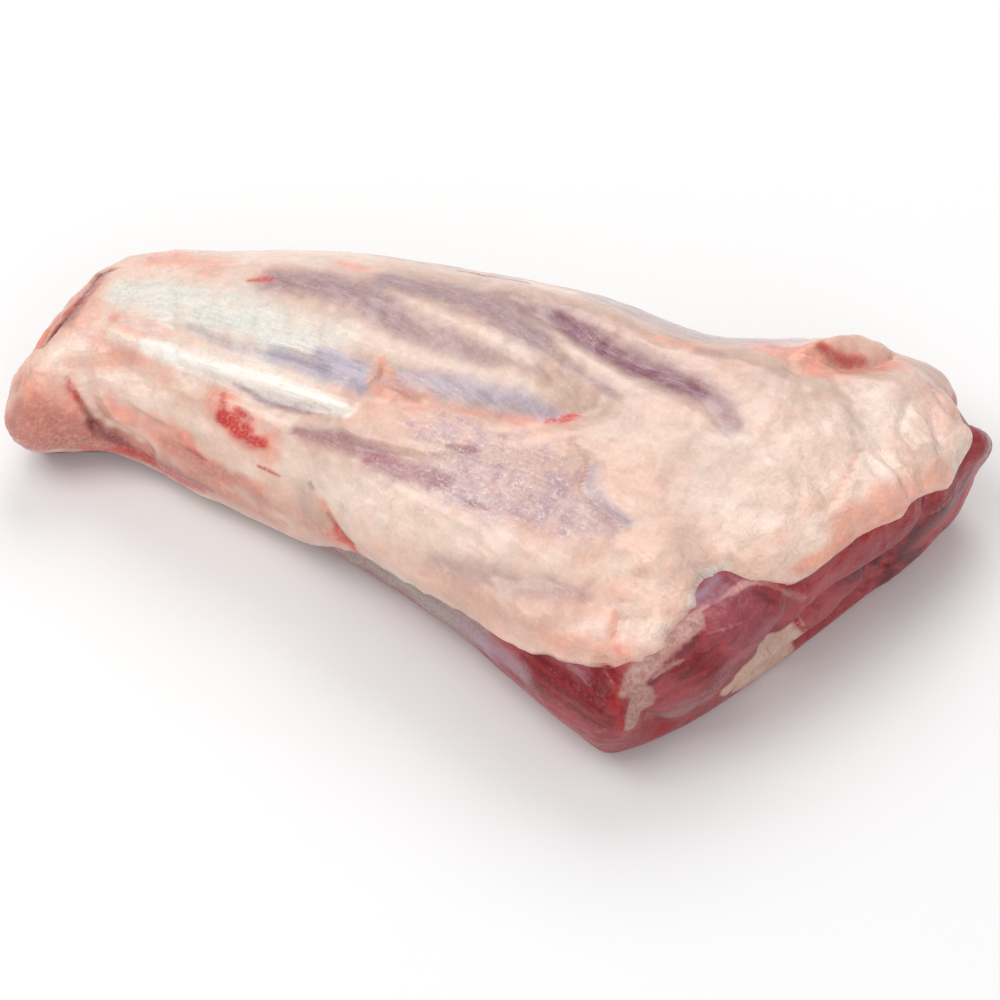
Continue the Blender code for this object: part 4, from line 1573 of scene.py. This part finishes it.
@dataclass(frozen=True)
class LeanMeat(Skin):
    """The muscle: the cut face, the near side below the fat and the underside. Under the fat it is sunk."""

    name: str = "lean_meat"
    finish: Finish = LEAN_FINISH
    columns: int = 380
    first_column: float = 100.0
    cap_rows: int = 16
    side_rows: int = 130
    side_power: float = 0.85
    rim_rows: int = 16
    face_rows: int = 86
    sunk: float = 2.4
    sunk_between: Span = (1.0, 4.0)
    texture_full: float = 6.0
    grain: Rough = Rough(0.28, 3.4, 3, 21)
    cut_swells: Rough = Rough(0.5, 12, 2, 22)
    fibres: Rough = Rough(0.3, 1.8, 2, 23)
    fibre_stretch: float = 7.0
    side_swells: Rough = Rough(0.3, 10, 2, 24)
    cut_from: Span = (0.99, 1.08)
    crumpled_from: Span = (0.98, 1.1)
    face_from: Stations = (
        (-90, 1.18), (-14, 1.18), (4, 1.12), (20, 1.03), (28, 0.955), (150, 0.955), (175, 0.94), (270, 1),
    )  # fmt: skip
    face_turn: Triple = (0.8, 0.5, 0.45)

    def grid(self) -> tuple[Array, Array]:
        """Places along and around of the grid, which starts under the fat.

        Returns:
            The two grids.
        """
        cap = np.sin(np.linspace(0, QUARTER, self.cap_rows + 1)[:-1]) - 1
        side = np.linspace(0, 1, self.side_rows) ** self.side_power
        rim = 1 + EDGE.rim_share * (1 - np.cos(np.linspace(0, QUARTER, self.rim_rows + 1)[1:]))
        face = np.linspace(1 + EDGE.rim_share, 2, self.face_rows + 1)[1:]
        along = np.concatenate([cap, side, rim, face])
        around = self.first_column + np.linspace(0, 360, self.columns, endpoint=False)
        return np.broadcast_arrays(along[:, None], wrapped(around, 360))

    def build(self) -> bpy.types.Object:
        """Makes the meat: the bare form with relief, grain and seams, pushed in where the fat covers it.

        Returns:
            The piece.
        """
        along, around = self.grid()
        bare, normal = FORM.place(along, around), FORM.normal(along, around)
        flat = bare.reshape(-1, 3)
        evened, normal = self.even(along, bare, normal)
        under = smooth_step(*self.sunk_between, EDGE.depth(along, around))
        main = self.relief(flat, MAIN_RELIEF + FACE_RELIEF).reshape(along.shape)
        fade = smooth_step(self.relief_from, self.texture_full, bare[..., 2])
        texture = self.texture(along, around, flat).reshape(along.shape)
        points = evened + normal * (main + texture * fade - self.sunk * under)[..., None]
        points[..., 2] = np.where(bare[..., 2] <= 0, 0, np.maximum(points[..., 2], 0))
        layers = self.layers(along, flat)
        layers["flow"] = self.flow(along, around, bare)
        return self.settle(closed_mesh(self.name, points, layers))

    def layers(self, along: Array, flat: Array) -> dict[str, Array]:
        """What the mesh keeps for the finish: each tissue's cover, fibres, wetness, painted glints and
        crumpling.

        Args:
            along: places along the shank.
            flat: the places on the bare form, one a row.

        Returns:
            A grid of values for each name.
        """
        layers = self.marks(flat, LEAN_MARKS, along.shape)
        silver = layers["silver"]
        return layers | {
            "hair": 0.12 + 0.88 * silver,
            "wet": 0.3 * silver + 0.3 * layers["blush"],
            # where painted glints and glinting strands show
            "glint": 0.4 + 0.6 * silver,
            "crumple": 0.3 + 0.4 * smooth_step(*self.crumpled_from, along),
        }

    def flow(self, along: Array, around: Array, bare: Array) -> Array:
        """Coordinates that follow the fibres, and lie flat across the cut face.

        Args:
            along: places along the shank.
            around: degrees round it.
            bare: the places on the bare form.

        Returns:
            Three numbers for each place.
        """
        face = along > curve(self.face_from, wrapped(around))
        y, z = bare[..., 1], bare[..., 2]
        over, rise, fall = self.face_turn
        across = np.stack([y * over + z * rise, z - y * fall, np.zeros_like(y)], -1)
        return np.where(face[..., None], across, FLOW.at(along, around))

    def texture(self, along: Array, around: Array, flat: Array) -> Array:
        """Grain of the cut muscle, and lengthwise fibres on the sides.

        Args:
            along: places along the shank.
            around: degrees round it.
            flat: the places on the bare form, one a row.

        Returns:
            Millimetres for each point.
        """
        cut = smooth_step(*self.cut_from, along.ravel())
        grain = self.grain.at(flat) + self.cut_swells.at(flat)
        fibres = FLOW.fibres(along, around, self.fibres, self.fibre_stretch) + self.side_swells.at(flat)
        return cut * grain + (1 - cut) * fibres


LEAN_MARKS: MarkTable = {
    Tissue.DARK: (
        Stroke(((1.015, 26), (1.02, 33), (1.03, 41)), 1.5, 0.75, 0.7),
        Stroke(((1.01, 55), (1.02, 51), (1.02, 47)), 0.9, 0.8, 0.3),
        Stroke(((1.5, 240), (1.5, 215), (1.6, 185), (1.5, 165), (1.36, 162), (1.24, 163)), 4.4, 0.75, 0.3),
        Stroke(((1.74, 190), (1.76, 130), (1.7, 95)), 3.4, 0.7, 0.3),
        Stroke(((1.3, 8), (1.42, 12), (1.52, 26), (1.58, 48)), 2.6, 0.5, 0.3),
        Stroke(((0.1, 330), (0.4, 300), (0.8, 320)), 12, 0.4),
        Stroke(((0.975, 16), (0.985, 22)), 3.0, 0.6),
    ),
    Tissue.BLUSH: (
        Stroke(((0.91, 14), (0.96, 18), (0.985, 18)), 6.0, 1.0),
        Stroke(((1.03, 160), (1.03, 172)), 4.5, 0.9),
        Stroke(((1.06, 40), (1.14, 40), (1.24, 32), (1.3, 18)), 4.6, 1.0, 0.3),
    ),
    Tissue.MUSCLE: (
        Stroke(((1.05, 64), (1.17, 60), (1.3, 60)), 5.5, 0.9),
        Stroke(((0.99, 70), (1.0, 73)), 2.5, 1.0),
        Stroke(((0.3, 200), (0.6, 215), (0.9, 205)), 14, 0.6),
    ),
    Tissue.VEIL: (
        Stroke(((1.34, 24), (1.26, 12), (1.16, 8)), 1.6, 0.15, 0.5),
        Stroke(((0.78, 2), (0.84, 2), (0.89, 4)), 4.2, 0.8, 0.6),
        # painted bluish sheen over the top of the near corner muscle
        Stroke(((0.9, 22), (0.94, 24), (0.96, 24)), 1.4, 0.2),
        Stroke(((0.99, 67), (0.995, 70)), 1.6, 0.25),
        Stroke(((0.984, 64), (0.978, 68), (0.977, 72)), 0.7, 1.0),
    ),
    Tissue.SILVER: (
        Stroke(((0.53, -3), (0.6, -6), (0.68, -5), (0.76, -2), (0.82, 2)), 6.0, 1.1, 0.5),
        Stroke(((0.66, 5), (0.74, 8), (0.82, 12)), 3.0, 0.8, 0.5),
        Stroke(((1.14, 0), (1.27, -2), (1.38, -8)), 2.4, 0.35, 0.6),
        Stroke(((0.2, 230), (0.5, 250), (0.8, 240)), 12, 0.8),
        Stroke(((-0.5, 215), (-0.3, 240), (-0.25, 290), (-0.2, 330)), 7, 0.5, 0.5),
        Stroke(((0.02, 215), (0.2, 208), (0.5, 204), (0.8, 206)), 5, 0.6, 0.4),
        Stroke(((0.05, 300), (0.3, 320), (0.5, 330)), 9, 0.7),
    ),
    Tissue.SINEW: (
        Stroke(
            ((0.998, 60), (0.998, 55), (0.998, 50), (1.0, 44), (1.0, 38), (1.0, 32), (1.0, 27)), 2.3, 1.0, 0.3
        ),
        Stroke(((1.01, 30), (1.015, 25), (1.03, 20), (1.04, 9)), 1.2, 1.0, 0.3),
        Stroke(((1.035, 28), (1.06, 20), (1.06, 8)), 2.5, 1.0, 0.5),
        Stroke(((1.045, 45), (1.03, 42), (1.015, 36)), 0.8, 0.6, 0.7),
    ),
    Tissue.CREAM: (
        Stroke(((1.46, -18), (1.54, -17), (1.6, -16), (1.68, -14), (1.78, -10)), 3.2, 1.0, 0.3),
        Stroke(((1.52, -2), (1.6, 10), (1.66, 28), (1.69, 48)), 2.2, 1.0, 0.3),
        Stroke(((1.68, 10), (1.72, 22), (1.74, 32)), 2.2, 1.0, 0.4),
        Stroke(((1.78, 20), (1.72, 44), (1.64, 58)), 1.8, 1.0, 0.4),
        Stroke(((1.47, -38), (1.52, -54), (1.58, -66)), 2.8, 1.0, 0.3),
        Stroke(((1.62, -50), (1.72, -55), (1.76, -20)), 3.0, 1.0),
        Stroke(((1.42, -44), (1.44, -60), (1.48, -74)), 2.8, 0.9, 0.3),
        Stroke(((0.4, 255), (0.6, 270)), 8, 0.8),
    ),
    Tissue.SEAM: (
        Stroke(
            (
                (1.21, 150), (1.3, 147), (1.39, 144), (1.46, 140), (1.54, 137),
                (1.6, 128), (1.64, 115), (1.61, 99), (1.57, 90),
            ),
            0.5, 0.5, 0.5,
        ),
        Stroke(((0.93, -8), (0.952, -4), (0.976, -2), (0.998, 2), (1.002, 8)), 0.35, 0.5, 0.3),
        Stroke(((0.94, 349), (0.964, 354), (0.992, 357), (1.0, 360), (1.03, 357)), 0.35, 0.5, 0.3),
        Stroke(((0.95, 348), (0.98, 351), (1.0, 354), (1.06, 352)), 0.4, 0.6, 0.3),
        Stroke(
            ((0.992, 62), (0.996, 66), (1.0, 71), (1.005, 75), (1.04, 76), (1.11, 75.5), (1.23, 74)),
            0.65, 1.0, 0.3,
        ),
        Stroke(((1.03, 56), (1.07, 60), (1.11, 63)), 0.4, 0.5, 0.7),
        Stroke(((1.14, 52), (1.2, 50)), 0.4, 0.5, 0.7),
        Stroke(((1.2, 74), (1.3, 75), (1.4, 74)), 1.6, 0.6, 0.4),
    ),
    # painted shade in the seams of the cut face and under the fat's edge
    Tissue.CREASE_SHADE: (
        Stroke(((1.62, 215), (1.62, 185), (1.54, 150), (1.38, 130)), 0.9, 0.7, 0.4),
        Stroke(((1.5, 66), (1.6, 60), (1.64, 40), (1.58, 18), (1.48, 2)), 0.5, 0.6, 0.4),
        Stroke(((1.01, 73), (1.05, 72), (1.14, 71)), 0.7, 0.6, 0.4),
    ),
    Tissue.BLOOD: (
        Stroke(((1.44, 72), (1.6, 66), (1.76, 40), (1.82, -30), (1.7, -78), (1.42, -86)), 0.8, 0.95, 0.2),
        Stroke(((1.4, 268), (1.38, 256), (1.36, 248), (1.33, 240), (1.3, 228)), 1.1, 0.9, 0.4),
        Stroke(((0.978, 29), (0.99, 27), (1.0, 21), (1.02, 8)), 0.8, 1.0, 0.3),
        Stroke(((0.93, 347), (0.968, 345), (0.992, 344), (1.02, 337), (1.09, 334)), 0.9, 0.9, 0.4),
        Stroke(((1.3, 335), (1.2, 339), (1.09, 336)), 1.4, 0.6, 0.4),
        Stroke(((1.6, 61), (1.52, 69), (1.44, 73.5), (1.36, 78), (1.29, 84), (1.24, 90)), 1.0, 1.4, 0.3),
        Stroke(((1.2, 96), (1.24, 104), (1.26, 116), (1.27, 128), (1.24, 136)), 1.5, 0.9, 0.3),
        Stroke(((1.06, 76), (1.16, 77), (1.28, 77)), 1.0, 0.6, 0.3),
        Stroke(((0.55, 345), (0.7, 342), (0.9, 345)), 0.8, 0.8, 0.5),
    ),
}


# ----------------------------------------------------------------------------------------------- the studio


@dataclass(frozen=True)
class Lamp:
    """A square soft light that looks at the origin. Metres and watts."""

    name: str
    place: Triple
    side: float
    power: float

    def build(self) -> None:
        """Adds the light to the scene."""
        data = bpy.data.lights.new(self.name, "AREA")
        data.size, data.energy = self.side, self.power
        lamp = bpy.data.objects.new(self.name, data)
        lamp.location = self.place
        lamp.rotation_euler = (-Vector(self.place)).to_track_quat("-Z", "Y").to_euler()
        bpy.context.scene.collection.objects.link(lamp)


@dataclass(frozen=True)
class Studio:
    """Pale floor, soft lights and the camera."""

    azimuth: float = 17.0
    elevation: float = 55.0
    distance: float = 0.8
    lens: float = 129.7
    target: Triple = (0.0020, 0.0078, 0.0)
    floor_side: float = 6.0
    floor_colour: Colour = (0.86, 0.86, 0.86)
    floor_other: float = 1.02
    floor_grain: float = 400.0
    floor_roughness: float = 0.8
    sky: float = 0.5
    lamps: tuple[Lamp, ...] = (
        Lamp("key", (-0.45, -0.25, 1.15), 0.7, 6.2),
        Lamp("fill", (0.6, -0.9, 0.7), 1.0, 3.2),
        Lamp("back", (-0.1, 0.8, 0.95), 0.7, 5.5),
    )

    def build(self) -> None:
        """Makes the floor, the lights, the sky and the camera."""
        self._floor()
        for lamp in self.lamps:
            lamp.build()
        self._sky()
        self._camera()
        bpy.context.scene.view_settings.view_transform = "Standard"

    def _floor(self) -> None:
        """A wide pale floor under the shank."""
        half = self.floor_side / 2
        corners = [(-half, -half, 0), (half, -half, 0), (half, half, 0), (-half, half, 0)]
        mesh = bpy.data.meshes.new("floor")
        mesh.from_pydata(corners, [], [(0, 1, 2, 3)])
        floor = bpy.data.objects.new("floor", mesh)
        bpy.context.scene.collection.objects.link(floor)
        g = Graph("pale floor")
        tone = g.step(g.grain(self.floor_grain, 2.0), 0, 1)
        other = tuple(c * self.floor_other for c in self.floor_colour)
        g.feed(g.mix(tone, self.floor_colour, other), g.shader.inputs["Base Color"])
        g.shader.inputs["Roughness"].default_value = self.floor_roughness
        floor.data.materials.append(g.material)

    def _sky(self) -> None:
        """An even pale sky."""
        world = bpy.data.worlds.new("pale sky")
        world.use_nodes = True
        background = world.node_tree.nodes["Background"].inputs
        background["Color"].default_value = (1, 1, 1, 1)
        background["Strength"].default_value = self.sky
        bpy.context.scene.world = world

    def _camera(self) -> None:
        """A long lens that looks down on the shank."""
        a, e = math.radians(self.azimuth), math.radians(self.elevation)
        back = Vector((math.sin(a) * math.cos(e), -math.cos(a) * math.cos(e), math.sin(e)))
        data = bpy.data.cameras.new("camera")
        data.lens = self.lens
        camera = bpy.data.objects.new("camera", data)
        camera.location = Vector(self.target) + back * self.distance
        camera.rotation_euler = (-back).to_track_quat("-Z", "Y").to_euler()
        bpy.context.scene.collection.objects.link(camera)
        bpy.context.scene.camera = camera


def main() -> None:
    """Builds the pieces and the studio."""
    logging.basicConfig(level=logging.INFO, format="%(name)s: %(message)s")
    FatCover().build()
    LeanMeat().build()
    Studio().build()
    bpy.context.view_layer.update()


if __name__ == "__main__":
    main()
